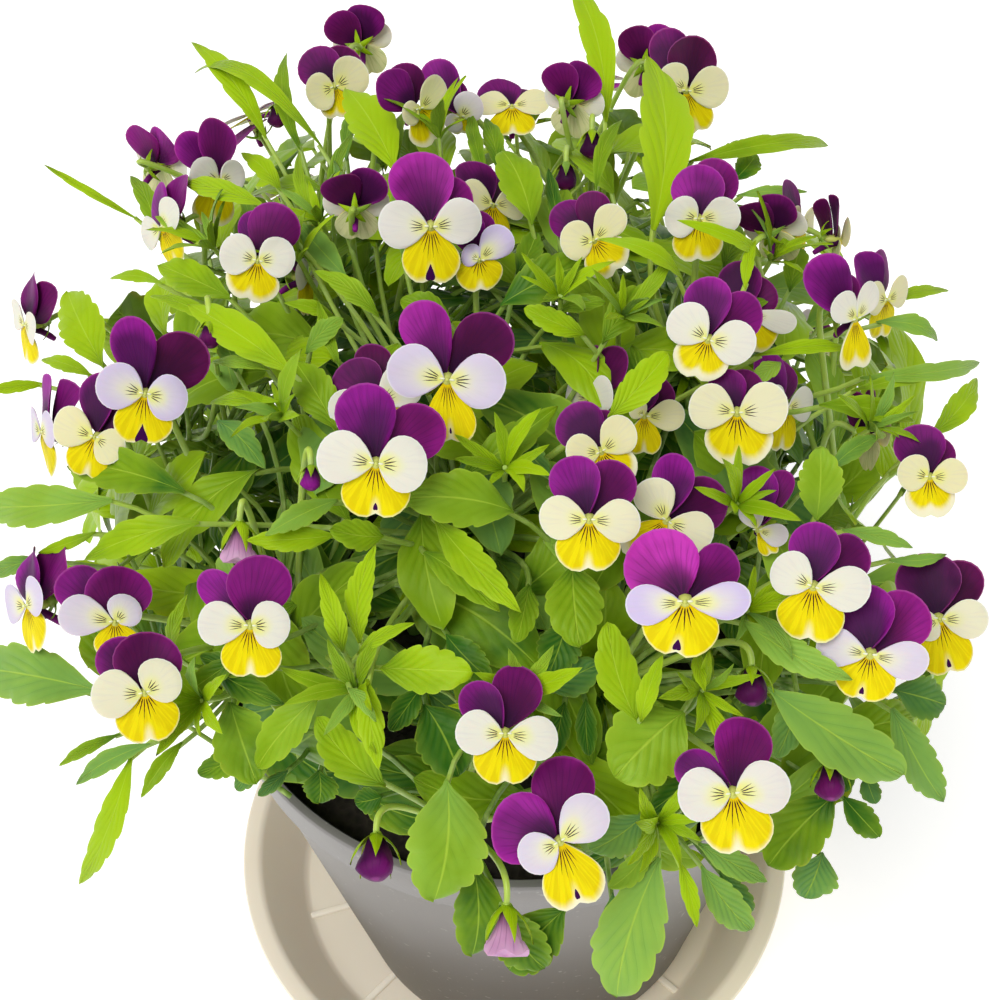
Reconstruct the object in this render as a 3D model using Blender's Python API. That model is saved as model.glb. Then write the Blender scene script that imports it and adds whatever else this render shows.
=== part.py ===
"""A potted horned violet: a grey plastic pot in a cream saucer, filled with soil, from which leafy stems
rise to a dome of leaves and two-coloured blooms. Metres, +Z up; the origin is under the middle of the
saucer."""

import math
import random
from collections import namedtuple

import bmesh
import bpy
from mathutils import Matrix, Vector
from mathutils.bvhtree import BVHTree

MM = 0.001
FIT_GAP = 0.3 * MM
TURNED_SIDES = 24
SMOOTH_ANGLE = math.radians(35)

# Driving dimensions of the saucer
SAUCER_RADIUS = 98.6 * MM
SAUCER_HEIGHT = 21 * MM
SAUCER_FLOOR_RADIUS = 80 * MM
SAUCER_LIP = 4 * MM
SAUCER_WALL = 1.8 * MM
RIB_HEIGHT = 1.2 * MM
RIB_WIDTH = 2 * MM
RIB_COUNT = 12
RIB_INNER_RADIUS = 24 * MM
RIB_OUTER_RADIUS = 78 * MM

# Driving dimensions of the pot, which stands a little off the saucer's middle
POT_AT = Vector((5 * MM, -7.5 * MM, 0))
POT_RADIUS = 90 * MM
POT_FOOT_RADIUS = 62 * MM
POT_RIM_Z = 156 * MM
POT_FOOT_Z = SAUCER_WALL + RIB_HEIGHT + FIT_GAP
POT_WALL = 1.8 * MM
POT_FLOOR = 2.4 * MM
COLLAR_HEIGHT = 17 * MM
COLLAR_STEP = 1.8 * MM
COLLAR_DRAFT = 1.6 * MM
COLLAR_Z = POT_RIM_Z - COLLAR_HEIGHT
UNDER_COLLAR_RADIUS = POT_RADIUS - COLLAR_STEP - COLLAR_DRAFT
RIM_ROUND = 1 * MM
FOOT_RING_HEIGHT = 2 * MM
FOOT_RING_WIDTH = 4 * MM
DRAIN_COUNT = 5
DRAIN_RADIUS = 5 * MM
DRAIN_CIRCLE = 36 * MM
DRAIN_CUT = 10 * MM

# Driving dimensions of the soil and the stems' holes in it
SOIL_Z = 142 * MM
SOIL_SLOPE = 4 * MM
SOIL_CROWN = 1 * MM
SOIL_BUMPS = 1.2 * MM
HOLE_DEPTH = 16 * MM
HOLE_RADIUS = 3.0 * MM
HOLE_CUT = 20 * MM

# The dome of the plant: a rounded box of these half widths, in which |x|^n + |y|^n + |z|^n is 1
DOME_AT = Vector((3 * MM, 0, 155 * MM))
DOME_RADII = Vector((140 * MM, 150 * MM, 150 * MM))
DOME_POWER = 2.6
HEART_DEPTH = 40 * MM

# Where the photograph was taken from. A place on the plant is read there in pixels, to the right and down
# from the picture's corner, and lies on the dome unless it is lifted towards the viewer
VIEW_AIM = Vector((0, -7.5 * MM, 209 * MM))
VIEW_DISTANCE = 442 * MM
VIEW_ELEVATION = math.radians(47.4)
VIEW_ROLL = math.radians(-2.3)
VIEW_FOCAL = 1600
VIEW_MIDDLE = 500
VIEW_NEAREST = 0.26
VIEW_STEP = 1 * MM
VIEW_STEPS = 260

BACK = Vector((0, -math.cos(VIEW_ELEVATION), math.sin(VIEW_ELEVATION)))
EYE = VIEW_AIM + VIEW_DISTANCE * BACK
LEVEL_RIGHT = Vector((1, 0, 0))
LEVEL_UP = LEVEL_RIGHT.cross(-BACK)
RIGHT = math.cos(VIEW_ROLL) * LEVEL_RIGHT + math.sin(VIEW_ROLL) * LEVEL_UP
UP = math.cos(VIEW_ROLL) * LEVEL_UP - math.sin(VIEW_ROLL) * LEVEL_RIGHT

# A bloom's proportions, as shares of its width across the two side petals. The petals run anticlockwise
Petal = namedtuple("Petal", "look angle length width depth tilt notch")
PETALS = (
    Petal("petal_white", 6, 0.53, 0.50, 0.040, 3, 0.0),
    Petal("petal_purple", 63, 0.67, 0.58, -0.085, -15, 0.0),
    Petal("petal_purple", 115, 0.69, 0.60, -0.040, -9, 0.0),
    Petal("petal_white", 174, 0.53, 0.50, 0.040, 3, 0.0),
    Petal("petal_yellow", 270, 0.58, 0.60, -0.015, 0, 0.08),
)
PETAL_OUTLINE = ((0.36, 0.38), (0.72, 0.50), (0.98, 0.24))
PLAIN_OUTLINE = ((0.42, 0.44), (0.88, 0.40))
PETAL_MIDDLE = 0.52
PETAL_SWELL = 0.03
ROOT_REACH = 0.085
ROOT_WIDTH = 0.032
THROAT_FRONT = 0.1
SPUR_TIP = Vector((0, -0.24, -0.36))
CALYX_DEPTH = 0.25
CALYX_FRONT = 0.04
CALYX_HEIGHT = 0.03
HOOK_DEPTH = 0.42
HOOK_RISE = 0.02
SEPAL_COUNT = 5
SEPAL_LENGTH = 0.27
SEPAL_NOTCH = 0.06
SEPAL_SWEEP = 0.02
BUD_RINGS = ((-0.30, 0.07), (-0.02, 0.26), (0.30, 0.19))
BUD_BACK = -0.34
BUD_FRONT = 0.55
BUD_SIDES = 5
BUD_NOD = 62
BUD_SCALE = 1.6

BLADE_THICKNESS = 1.2 * MM
BLOOM_SMALLEST = 16 * MM
BLOOM_LARGEST = 26 * MM
STALK_RADIUS = 0.8 * MM
STALK_LENGTH = 42 * MM
STALK_ARCH = 0.12
SHOOT_RADIUS = 1.3 * MM
STEM_RADIUS = 2.4 * MM
STEM_RISE = 14 * MM
PETIOLE_WIDTH = 0.8 * MM

# Outlines of a leaf's blade, toothed, as shares of its length and its width, for large, middling and small
# leaves
LEAF_SHAPES = (
    ((0.22, 0.84), (0.44, 1.0), (0.58, 0.78), (0.78, 0.72)),
    ((0.25, 0.88), (0.50, 1.0), (0.78, 0.62)),
    ((0.30, 1.0), (0.70, 0.78)),
)
LARGE_LEAF = 15 * MM
MIDDLE_LEAF = 9 * MM

# Every bloom, read from the photograph: its throat, the width across its side petals, how far it turns to
# the right, nods down and rolls anticlockwise from facing the viewer, in degrees, and how far it stands off
# the dome, in mm. One that hides behind others is grown together with its stem
Bloom = namedtuple("Bloom", "name at span turn nod roll lift own", defaults=(0, 6, 0, 0, True))
BLOOMS = (
    Bloom("01", at=(363, 44), span=62, turn=168, nod=-15, roll=-14, lift=-22, own=False),
    Bloom("02", at=(335, 87), span=74, roll=16, lift=-6),
    Bloom("03", at=(418, 109), span=76, turn=32, roll=14, lift=4),
    Bloom("04", at=(460, 117), span=74, turn=8, roll=6, lift=-12),
    Bloom("05", at=(512, 108), span=72, nod=-40, lift=-24, own=False),
    Bloom("06", at=(160, 165), span=66, turn=135, nod=-12, roll=14, lift=-6),
    Bloom("07", at=(218, 180), span=88, turn=24, roll=-2),
    Bloom("08", at=(164, 228), span=80, turn=-62, roll=24, lift=4),
    Bloom("09", at=(258, 261), span=80, turn=-6, roll=-12, lift=5),
    Bloom("10", at=(306, 278), span=72, turn=70, lift=-24, own=False),
    Bloom("11", at=(356, 207), span=64, turn=176, nod=-20, lift=2),
    Bloom("12", at=(431, 227), span=104, roll=-2, lift=6),
    Bloom("13", at=(479, 260), span=84, turn=8, roll=-12, lift=-8),
    Bloom("14", at=(492, 206), span=76, turn=34, nod=-16, roll=-10, lift=-18, own=False),
    Bloom("15", at=(28, 325), span=74, turn=-74, roll=-18),
    Bloom("16", at=(145, 394), span=94, roll=-9, lift=8),
    Bloom("17", at=(96, 437), span=80, turn=-22, roll=-14, lift=-5),
    Bloom("18", at=(45, 432), span=84, turn=-76, roll=-6),
    Bloom("20", at=(447, 380), span=116, roll=-8, lift=2),
    Bloom("21", at=(378, 404), span=100, roll=26, lift=-15, own=False),
    Bloom("22", at=(376, 464), span=112, roll=-6, lift=10),
    Bloom("24a", at=(646, 66), span=64, turn=172, nod=-6, roll=8, lift=-26),
    Bloom("24b", at=(686, 91), span=78, turn=10, roll=-6, lift=-12),
    Bloom("25", at=(573, 103), span=66, turn=158, nod=-8, roll=10, lift=-6),
    Bloom("26", at=(594, 241), span=78, roll=30, lift=3),
    Bloom("27", at=(699, 219), span=78, roll=0, lift=3),
    Bloom("28", at=(775, 230), span=54, turn=160, nod=-25, roll=-8, lift=-2, own=False),
    Bloom("29", at=(799, 224), span=54, turn=66, lift=-14, own=False),
    Bloom("30", at=(838, 240), span=50, turn=104, roll=-12, lift=-4, own=False),
    Bloom("31", at=(854, 319), span=88, turn=42, roll=17, lift=7),
    Bloom("32", at=(884, 300), span=76, turn=58, roll=8, lift=-12, own=False),
    Bloom("33", at=(708, 340), span=92, roll=-22, lift=8),
    Bloom("34", at=(747, 312), span=86, roll=12, lift=-15, own=False),
    Bloom("35", at=(737, 413), span=100, lift=-3),
    Bloom("36", at=(784, 408), span=82, turn=54, lift=-20, own=False),
    Bloom("37", at=(592, 398), span=80, turn=-56, lift=-26, own=False),
    Bloom("38", at=(601, 452), span=84, turn=6, roll=28, lift=-2),
    Bloom("39", at=(644, 416), span=80, turn=8, roll=-12, lift=-13),
    Bloom("40", at=(589, 520), span=102, roll=-2, lift=6),
    Bloom("41", at=(666, 521), span=92, turn=6, roll=-34, lift=-9),
    Bloom("42", at=(758, 530), span=70, turn=-8, lift=-16, own=False),
    Bloom("43", at=(685, 602), span=124, roll=-1, lift=9),
    Bloom("44", at=(813, 587), span=102, roll=-20, lift=5),
    Bloom("45", at=(870, 655), span=112, roll=-7, lift=8),
    Bloom("46", at=(939, 619), span=96, turn=8, roll=-6, lift=-8),
    Bloom("47", at=(929, 477), span=78, turn=12, roll=-2),
    Bloom("48", at=(872, 436), span=60, turn=118, lift=-22, own=False),
    Bloom("49", at=(505, 734), span=100, turn=6, lift=4),
    Bloom("50", at=(560, 842), span=102, roll=30, lift=9),
    Bloom("51", at=(733, 794), span=112, roll=7, lift=8),
    Bloom("57", at=(115, 623), span=92, nod=-8, roll=6, lift=-7),
    Bloom("58", at=(30, 606), span=92, turn=-66, roll=8),
    Bloom("59", at=(250, 626), span=96, roll=-3, lift=5),
    Bloom("60", at=(145, 693), span=94, turn=-4, roll=14, lift=9),
)
# The blooms on the far side: the bearing round the pot from the right, and the height angle over the dome's
# middle. The upper row has every other one
FAR_BLOOMS = (
    ("0a", 44, 2), ("1a", 66, 20), ("1b", 76, 38), ("2a", 98, 18), ("3a", 118, 20), ("3b", 124, 38), ("4a", 146, 2),
)
FAR_BLOOM_WIDTH = 23 * MM
FAR_BLOOM_LIFT = 0.25
FAR_BLOOM_ROLL = 12

# Nodding buds and spent blooms: where each hangs, how wide it is, and how far it stands off the dome
Bud = namedtuple("Bud", "at span lift")
BUDS = (
    Bud(at=(210, 330), span=24, lift=-6),
    Bud(at=(311, 474), span=22, lift=-8),
    Bud(at=(752, 680), span=34, lift=-8),
    Bud(at=(830, 776), span=32, lift=-4),
    Bud(at=(376, 850), span=40, lift=-16),
    Bud(at=(506, 922), span=34, lift=-4),
    Bud(at=(239, 535), span=34, lift=-12),
    Bud(at=(277, 112), span=20, lift=-10),
    Bud(at=(592, 140), span=24, lift=-18),
    Bud(at=(566, 172), span=24, lift=-24),
)

# The larger leaves that show, read from the photograph: where a blade starts and ends and how wide it is,
# how far its start and its tip stand off the dome, in mm, and how far it arches out, as a share of its
# length
Leaf = namedtuple("Leaf", "base tip wide base_lift tip_lift arch", defaults=(-14, -5, 0.06))
LEAVES = (
    Leaf(base=(270, 134), tip=(191, 46), wide=24),
    Leaf(base=(322, 147), tip=(195, 73), wide=18, arch=0.16),
    Leaf(base=(300, 150), tip=(287, 53), wide=17, base_lift=-18, tip_lift=-12),
    Leaf(base=(395, 169), tip=(346, 89), wide=46, tip_lift=2),
    Leaf(base=(262, 204), tip=(184, 182), wide=24, base_lift=8, tip_lift=14),
    Leaf(base=(230, 297), tip=(158, 265), wide=36),
    Leaf(base=(293, 373), tip=(188, 304), wide=38, base_lift=-8, tip_lift=-3),
    Leaf(base=(104, 367), tip=(68, 292), wide=46, base_lift=-16),
    Leaf(base=(92, 376), tip=(41, 360), wide=16),
    Leaf(base=(336, 430), tip=(295, 362), wide=40, base_lift=-16, tip_lift=-10),
    Leaf(base=(217, 421), tip=(265, 469), wide=30, base_lift=-16, tip_lift=-12),
    Leaf(base=(379, 317), tip=(314, 271), wide=22),
    Leaf(base=(306, 354), tip=(344, 319), wide=23),
    Leaf(base=(452, 322), tip=(400, 300), wide=32, base_lift=-20, tip_lift=-14),
    Leaf(base=(346, 277), tip=(297, 223), wide=28, base_lift=-18, tip_lift=-12),
    Leaf(base=(281, 191), tip=(241, 153), wide=20, base_lift=-18),
    Leaf(base=(185, 500), tip=(67, 478), wide=44, base_lift=-18, tip_lift=-12),
    Leaf(base=(611, 118), tip=(574, -24), wide=29, tip_lift=4),
    Leaf(base=(653, 230), tip=(646, 56), wide=52, base_lift=-12, tip_lift=8),
    Leaf(base=(691, 156), tip=(824, 141), wide=22, arch=0.2),
    Leaf(base=(734, 180), tip=(756, 154), wide=25, base_lift=-22, tip_lift=-16),
    Leaf(base=(532, 225), tip=(502, 151), wide=42, tip_lift=-6),
    Leaf(base=(500, 306), tip=(594, 262), wide=46, base_lift=-18, tip_lift=-10),
    Leaf(base=(586, 335), tip=(524, 308), wide=26, base_lift=-12),
    Leaf(base=(557, 311), tip=(606, 303), wide=19, base_lift=-20, tip_lift=-12),
    Leaf(base=(602, 344), tip=(655, 285), wide=34, base_lift=-16, tip_lift=-8),
    Leaf(base=(683, 281), tip=(597, 239), wide=18, base_lift=-4, tip_lift=12, arch=0.18),
    Leaf(base=(761, 257), tip=(677, 220), wide=17, base_lift=-4, tip_lift=12, arch=0.18),
    Leaf(base=(608, 418), tip=(668, 353), wide=35, base_lift=0, tip_lift=5),
    Leaf(base=(781, 363), tip=(749, 385), wide=19, base_lift=-6, tip_lift=2),
    Leaf(base=(860, 372), tip=(978, 362), wide=18, arch=0.14),
    Leaf(base=(851, 391), tip=(958, 364), wide=17),
    Leaf(base=(819, 405), tip=(915, 422), wide=25, base_lift=-10),
    Leaf(base=(918, 426), tip=(970, 370), wide=27),
    Leaf(base=(873, 325), tip=(935, 341), wide=19, base_lift=-16, arch=0.2),
    Leaf(base=(816, 520), tip=(820, 446), wide=45, base_lift=-14, tip_lift=-4),
    Leaf(base=(458, 480), tip=(558, 406), wide=36, base_lift=-16, tip_lift=-9),
    Leaf(base=(500, 434), tip=(554, 482), wide=27, base_lift=-18, tip_lift=-12),
    Leaf(base=(112, 508), tip=(-24, 522), wide=44, base_lift=-12),
    Leaf(base=(199, 522), tip=(84, 560), wide=36, base_lift=-12),
    Leaf(base=(98, 704), tip=(-28, 698), wide=60, base_lift=-16, tip_lift=-10),
    Leaf(base=(42, 560), tip=(-12, 578), wide=19, base_lift=-20, tip_lift=-12),
    Leaf(base=(150, 744), tip=(76, 785), wide=21),
    Leaf(base=(143, 757), tip=(85, 886), wide=29, tip_lift=2),
    Leaf(base=(182, 742), tip=(141, 798), wide=18, base_lift=-18),
    Leaf(base=(230, 702), tip=(257, 784), wide=60, base_lift=-14),
    Leaf(base=(320, 695), tip=(257, 768), wide=40, base_lift=-8),
    Leaf(base=(343, 653), tip=(320, 573), wide=23, base_lift=-8, tip_lift=4),
    Leaf(base=(360, 643), tip=(376, 545), wide=28, base_lift=-10, tip_lift=4),
    Leaf(base=(380, 668), tip=(473, 672), wide=48, base_lift=-8, tip_lift=-2),
    Leaf(base=(367, 679), tip=(379, 770), wide=27, base_lift=-6, tip_lift=2),
    Leaf(base=(386, 786), tip=(317, 716), wide=42, base_lift=-12, tip_lift=-8),
    Leaf(base=(447, 780), tip=(434, 900), wide=80, base_lift=-8, tip_lift=-4),
    Leaf(base=(473, 862), tip=(472, 955), wide=50, base_lift=-16, tip_lift=-14),
    Leaf(base=(214, 668), tip=(285, 704), wide=29, base_lift=-18, tip_lift=-12),
    Leaf(base=(335, 535), tip=(246, 540), wide=26, base_lift=-12),
    Leaf(base=(338, 500), tip=(265, 536), wide=25, base_lift=-10, tip_lift=-2),
    Leaf(base=(384, 536), tip=(330, 529), wide=32, base_lift=-12, tip_lift=-4),
    Leaf(base=(424, 552), tip=(500, 612), wide=34, base_lift=-14),
    Leaf(base=(436, 520), tip=(521, 612), wide=36, base_lift=-12, tip_lift=0),
    Leaf(base=(514, 512), tip=(407, 499), wide=57, base_lift=-10, tip_lift=-3),
    Leaf(base=(424, 704), tip=(459, 776), wide=60, base_lift=-18, tip_lift=-16),
    Leaf(base=(421, 688), tip=(390, 731), wide=27, base_lift=-18, tip_lift=-12),
    Leaf(base=(446, 634), tip=(491, 680), wide=34, base_lift=-20, tip_lift=-16),
    Leaf(base=(319, 770), tip=(319, 803), wide=36, base_lift=-26, tip_lift=-26),
    Leaf(base=(383, 796), tip=(355, 802), wide=27, base_lift=-26, tip_lift=-26),
    Leaf(base=(573, 564), tip=(580, 647), wide=58, base_lift=-12, tip_lift=-6),
    Leaf(base=(566, 624), tip=(549, 673), wide=45, base_lift=-20, tip_lift=-16),
    Leaf(base=(529, 584), tip=(516, 643), wide=29, base_lift=-16, tip_lift=-10),
    Leaf(base=(638, 722), tip=(608, 622), wide=42, base_lift=-6, tip_lift=-4),
    Leaf(base=(641, 722), tip=(663, 655), wide=21, base_lift=-4, tip_lift=2),
    Leaf(base=(684, 712), tip=(615, 778), wide=84, base_lift=-8, tip_lift=-4),
    Leaf(base=(586, 698), tip=(589, 756), wide=22, base_lift=-20, tip_lift=-18),
    Leaf(base=(552, 692), tip=(600, 664), wide=40, base_lift=-22, tip_lift=-18),
    Leaf(base=(565, 702), tip=(557, 753), wide=24, base_lift=-20, tip_lift=-16),
    Leaf(base=(768, 688), tip=(904, 775), wide=62, base_lift=-6, tip_lift=2),
    Leaf(base=(745, 622), tip=(853, 680), wide=34, base_lift=-8, tip_lift=10),
    Leaf(base=(892, 708), tip=(944, 802), wide=42, base_lift=-12),
    Leaf(base=(893, 690), tip=(945, 705), wide=44, base_lift=-16, tip_lift=-12),
    Leaf(base=(866, 776), tip=(876, 804), wide=22, base_lift=-22, tip_lift=-16),
    Leaf(base=(842, 796), tip=(879, 837), wide=29, base_lift=-16, tip_lift=-10),
    Leaf(base=(835, 795), tip=(768, 866), wide=60, base_lift=-12, tip_lift=-12),
    Leaf(base=(822, 852), tip=(804, 898), wide=46, base_lift=-20, tip_lift=-18),
    Leaf(base=(660, 858), tip=(617, 997), wide=70, base_lift=-6, tip_lift=0),
    Leaf(base=(701, 866), tip=(751, 930), wide=35, base_lift=-10),
    Leaf(base=(720, 872), tip=(752, 912), wide=28, base_lift=-20, tip_lift=-16),
    Leaf(base=(698, 844), tip=(767, 882), wide=27, base_lift=-8, tip_lift=-4),
    Leaf(base=(651, 843), tip=(609, 888), wide=25, base_lift=-8, tip_lift=-6),
    Leaf(base=(644, 814), tip=(590, 850), wide=41, base_lift=-10, tip_lift=-12),
    Leaf(base=(566, 908), tip=(509, 970), wide=56, base_lift=-16, tip_lift=-12),
    Leaf(base=(612, 893), tip=(612, 947), wide=25, base_lift=-18, tip_lift=-16),
    Leaf(base=(679, 860), tip=(697, 928), wide=17, base_lift=-6, tip_lift=2),
)

# The shoots of each stem: their bearing off the stem's own, and their height angle over the dome's middle, in
# degrees. The last stem rises in the middle
STEM_BEARINGS = (-90, -38, 14, 66, 114, 166, 218)
STEM_CIRCLE = 34 * MM
MIDDLE_STEM = Vector((0, 6 * MM, 0))
SIDE_SHOOTS = ((-16, 1), (15, 8), (-9, 24), (12, 40))
TOP_SHOOTS = ((-100, 58), (-20, 66), (60, 60), (150, 64))
SHOOT_REACH = 0.74
SHOOT_SEGMENTS = 3
SHOOT_START = 3 * MM
SHOOT_SPACING = 2.5 * MM
SHOOT_LEAN = 0.35
SHOOT_ARCH = 0.48
SHOOT_TAPER = (1.15, 0.5)

# The leaves between the ones that show: where they stand on each shoot, as shares of its length
NEAR_FILLERS = (0.82,)
FAR_FILLERS = (0.56, 0.76, 0.96)
FAR_STEMS = (2, 3, 4, 5)
FILLER_LENGTH = 41 * MM
FILLER_WIDTH = 9 * MM
FILLER_DROOP = 4 * MM
FILLER_ARCH = 0.08
GOLDEN_ANGLE = math.radians(137.5)
SHOOT_TWIST = 1.7
FILLER_TURN = math.radians(80)
FILLER_TRIES = 4

# Where a stalk or a leaf would cross something, it starts from another root, and a leaf also lies deeper or
# higher
SAMPLE_SHARES = (0, 0.25, 0.5, 0.75)
STALK_ROOTS = 150
LEAF_ROOTS = 24
LEAF_NEAREST = 60
LEAF_LEAN = 0.2
LEAF_SEAT = 6 * MM
LEAF_SHIFTS = (0, -3, 3, -6, 6, -9, 9, -12)
SLIVER_ANGLE = math.radians(2.5)
SEED = 7

Obstacle = namedtuple("Obstacle", "name stem kind low high tree")
obstacles = []


def picture_ray(pixel):
    """The direction through a pixel, as long as it takes to go one metre deeper."""
    across = (pixel[0] - VIEW_MIDDLE) / VIEW_FOCAL
    above = (VIEW_MIDDLE - pixel[1]) / VIEW_FOCAL
    return -BACK + across * RIGHT + above * UP


def dome_height(point):
    """Under 1 inside the plant's dome, 1 on it and more outside."""
    offset = point - DOME_AT
    return sum(abs(offset[i] / DOME_RADII[i]) ** DOME_POWER for i in range(3))


def on_dome(pixel, lift=0.0):
    """Where the line of sight through a pixel meets the dome, or passes it nearest, moved towards the
    viewer, and its depth."""
    ray = picture_ray(pixel)
    depths = [VIEW_NEAREST + VIEW_STEP * i for i in range(VIEW_STEPS)]
    heights = [dome_height(EYE + depth * ray) for depth in depths]
    depth = depths[heights.index(min(heights))]
    for before, after, height in zip(depths, depths[1:], heights[1:]):
        if height <= 1:
            depth = (before + after) / 2
            break
    return EYE + (depth - lift) * ray, depth - lift


def direction_at(bearing, height):
    """The direction at a bearing round the pot and a height angle, both in degrees."""
    bearing, height = math.radians(bearing), math.radians(height)
    flat = Vector((math.cos(bearing), math.sin(bearing), 0))
    return math.cos(height) * flat + math.sin(height) * Vector((0, 0, 1))


def dome_point(direction, reach=1.0):
    """The point that far out to the dome in a direction."""
    size = sum(abs(direction[i] / DOME_RADII[i]) ** DOME_POWER for i in range(3))
    return DOME_AT + reach * direction / size ** (1 / DOME_POWER)


def outward(point):
    """Away from the plant's heart, a little below the dome's middle."""
    return (point - DOME_AT + Vector((0, 0, HEART_DEPTH))).normalized()


def facing(at, right, ahead, turn, nod, roll):
    """A frame at a point: X to the right, Z ahead, where a bloom looks, then turned, nodded and rolled."""
    side = (right - ahead * right.dot(ahead)).normalized()
    frame = Matrix((side, ahead.cross(side), ahead)).transposed()
    turns = Matrix.Rotation(math.radians(turn), 3, "Y") @ Matrix.Rotation(math.radians(nod), 3, "X")
    frame = frame @ turns @ Matrix.Rotation(math.radians(roll), 3, "Z")
    return Matrix.Translation(at) @ frame.to_4x4()


def look(name, colour, roughness):
    """A named surface."""
    material = bpy.data.materials.new(name)
    material.use_nodes = True
    shader = material.node_tree.nodes["Principled BSDF"]
    shader.inputs["Base Color"].default_value = (*colour, 1)
    shader.inputs["Roughness"].default_value = roughness
    shader.inputs["Metallic"].default_value = 0
    return material


def solid(name, points, faces, material):
    """A mesh object from points and faces, with its faces turned outwards."""
    mesh = bpy.data.meshes.new(name)
    mesh.from_pydata([tuple(p) for p in points], [], faces)
    shape = bmesh.new()
    shape.from_mesh(mesh)
    bmesh.ops.recalc_face_normals(shape, faces=shape.faces)
    if shape.calc_volume(signed=True) < 0:
        bmesh.ops.reverse_faces(shape, faces=shape.faces)
    shape.to_mesh(mesh)
    shape.free()
    mesh.materials.append(material)
    piece = bpy.data.objects.new(name, mesh)
    bpy.context.scene.collection.objects.link(piece)
    return piece


def turned(name, profile, at, material):
    """A solid turned about the upright axis from a closed profile of (radius, height) points."""
    shape = bmesh.new()
    corners = [shape.verts.new((radius, 0, z)) for radius, z in profile]
    edges = [shape.edges.new((corners[i - 1], corners[i])) for i in range(len(corners))]
    on_axis = [edge for edge in edges if all(v.co.x == 0 for v in edge.verts)]
    spun = [edge for edge in edges if edge not in on_axis]
    bmesh.ops.spin(
        shape,
        geom=corners + spun,
        cent=(0, 0, 0),
        axis=(0, 0, 1),
        angle=math.tau,
        steps=TURNED_SIDES,
    )
    bmesh.ops.remove_doubles(shape, verts=shape.verts, dist=0.01 * MM)
    loose = [edge for edge in shape.edges if not edge.link_faces]
    bmesh.ops.delete(shape, geom=loose, context="EDGES")
    bmesh.ops.recalc_face_normals(shape, faces=shape.faces)
    bmesh.ops.translate(shape, verts=shape.verts, vec=at)
    mesh = bpy.data.meshes.new(name)
    shape.to_mesh(mesh)
    shape.free()
    mesh.materials.append(material)
    mesh.shade_smooth()
    mesh.set_sharp_from_angle(angle=SMOOTH_ANGLE)
    piece = bpy.data.objects.new(name, mesh)
    bpy.context.scene.collection.objects.link(piece)
    return piece


def prism(name, radius, sides, low, high, at, material):
    """An upright prism with that many sides."""
    angles = [math.tau * i / sides for i in range(sides)]
    ring = [(radius * math.cos(angle), radius * math.sin(angle)) for angle in angles]
    points = [Vector((x, y, z)) + at for z in (low, high) for x, y in ring]
    faces = [(i, (i + 1) % sides, sides + (i + 1) % sides, sides + i) for i in range(sides)]
    faces += [tuple(range(sides)), tuple(range(sides, 2 * sides))]
    return solid(name, points, faces, material)


def combine(piece, others, operation, solver):
    """A Boolean of a piece and a collection of others, applied. The others are then removed."""
    group = bpy.data.collections.new("tools")
    for other in others:
        bpy.context.scene.collection.objects.unlink(other)
        group.objects.link(other)
    bpy.context.scene.collection.children.link(group)
    modifier = piece.modifiers.new("Combine", "BOOLEAN")
    modifier.operation = operation
    modifier.operand_type = "COLLECTION"
    modifier.collection = group
    modifier.solver = solver
    bpy.context.view_layer.objects.active = piece
    with bpy.context.temp_override(object=piece, active_object=piece):
        bpy.ops.object.modifier_apply(modifier=modifier.name)
    for other in others:
        bpy.data.objects.remove(other)
    bpy.data.collections.remove(group)


def islands(shape):
    """The separate bodies of a mesh, each as its faces."""
    left = set(shape.faces)
    found = []
    while left:
        body = {left.pop()}
        edge_of_body = list(body)
        while edge_of_body:
            face = edge_of_body.pop()
            near = {other for edge in face.edges for other in edge.link_faces if other in left}
            left -= near
            body |= near
            edge_of_body.extend(near)
        found.append(body)
    return found


def fuse(name, pieces):
    """One body from pieces that run into each other. Loose scraps are dropped and sealed hollows filled,
    because both are bodies of their own."""
    piece, others = pieces[0], pieces[1:]
    piece.name = name
    combine(piece, others, "UNION", "MANIFOLD")
    shape = bmesh.new()
    shape.from_mesh(piece.data)
    for body in sorted(islands(shape), key=len)[:-1]:
        bmesh.ops.delete(shape, geom=list(body), context="FACES")
    bmesh.ops.dissolve_limit(shape, angle_limit=SLIVER_ANGLE, verts=shape.verts, edges=shape.edges)
    bmesh.ops.triangulate(shape, faces=shape.faces)
    shape.to_mesh(piece.data)
    shape.free()


def blade_mesh(points, side, normal, widths):
    """The points and faces of a thin blade along a spine, flat below and raised to a midrib above. It
    starts blunt and ends in a point."""
    corners = [points[-1]]
    rows = []
    for point, width in zip(points[:-1], widths):
        rows.append(range(len(corners), len(corners) + 3))
        corners += [point - side * width, point + normal * BLADE_THICKNESS, point + side * width]
    faces = [tuple(rows[0])]
    left, top, right = rows[-1]
    faces += [(0, left, top), (0, top, right), (0, right, left)]
    for row, following in zip(rows, rows[1:]):
        for i in range(3):
            j = (i + 1) % 3
            a, b, c, d = row[i], row[j], following[j], following[i]
            # The diagonals mirror each other across the midrib
            faces += [(a, b, c), (a, c, d)] if i == 1 else [(a, b, d), (b, c, d)]
    return corners, faces


def leaf_mesh(root, base, tip, width, arch):
    """A leaf: a stalk from its root to its base, if it has one, then a toothed blade to its tip, arched
    out."""
    along = tip - base
    side = along.cross(outward((base + tip) / 2)).normalized()
    normal = side.cross(along).normalized()
    shape = LEAF_SHAPES[0 if width > LARGE_LEAF else 1 if width > MIDDLE_LEAF else 2]
    shares = [0.0] + [share for share, _ in shape] + [1.0]
    rise = normal * along.length * arch * 4
    points = [base + share * along + rise * share * (1 - share) for share in shares]
    widths = [PETIOLE_WIDTH] + [wide * width / 2 for _, wide in shape]
    if root is not None:
        points.insert(0, root)
        widths.insert(0, PETIOLE_WIDTH)
    return blade_mesh(points, side, normal, widths)


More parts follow.
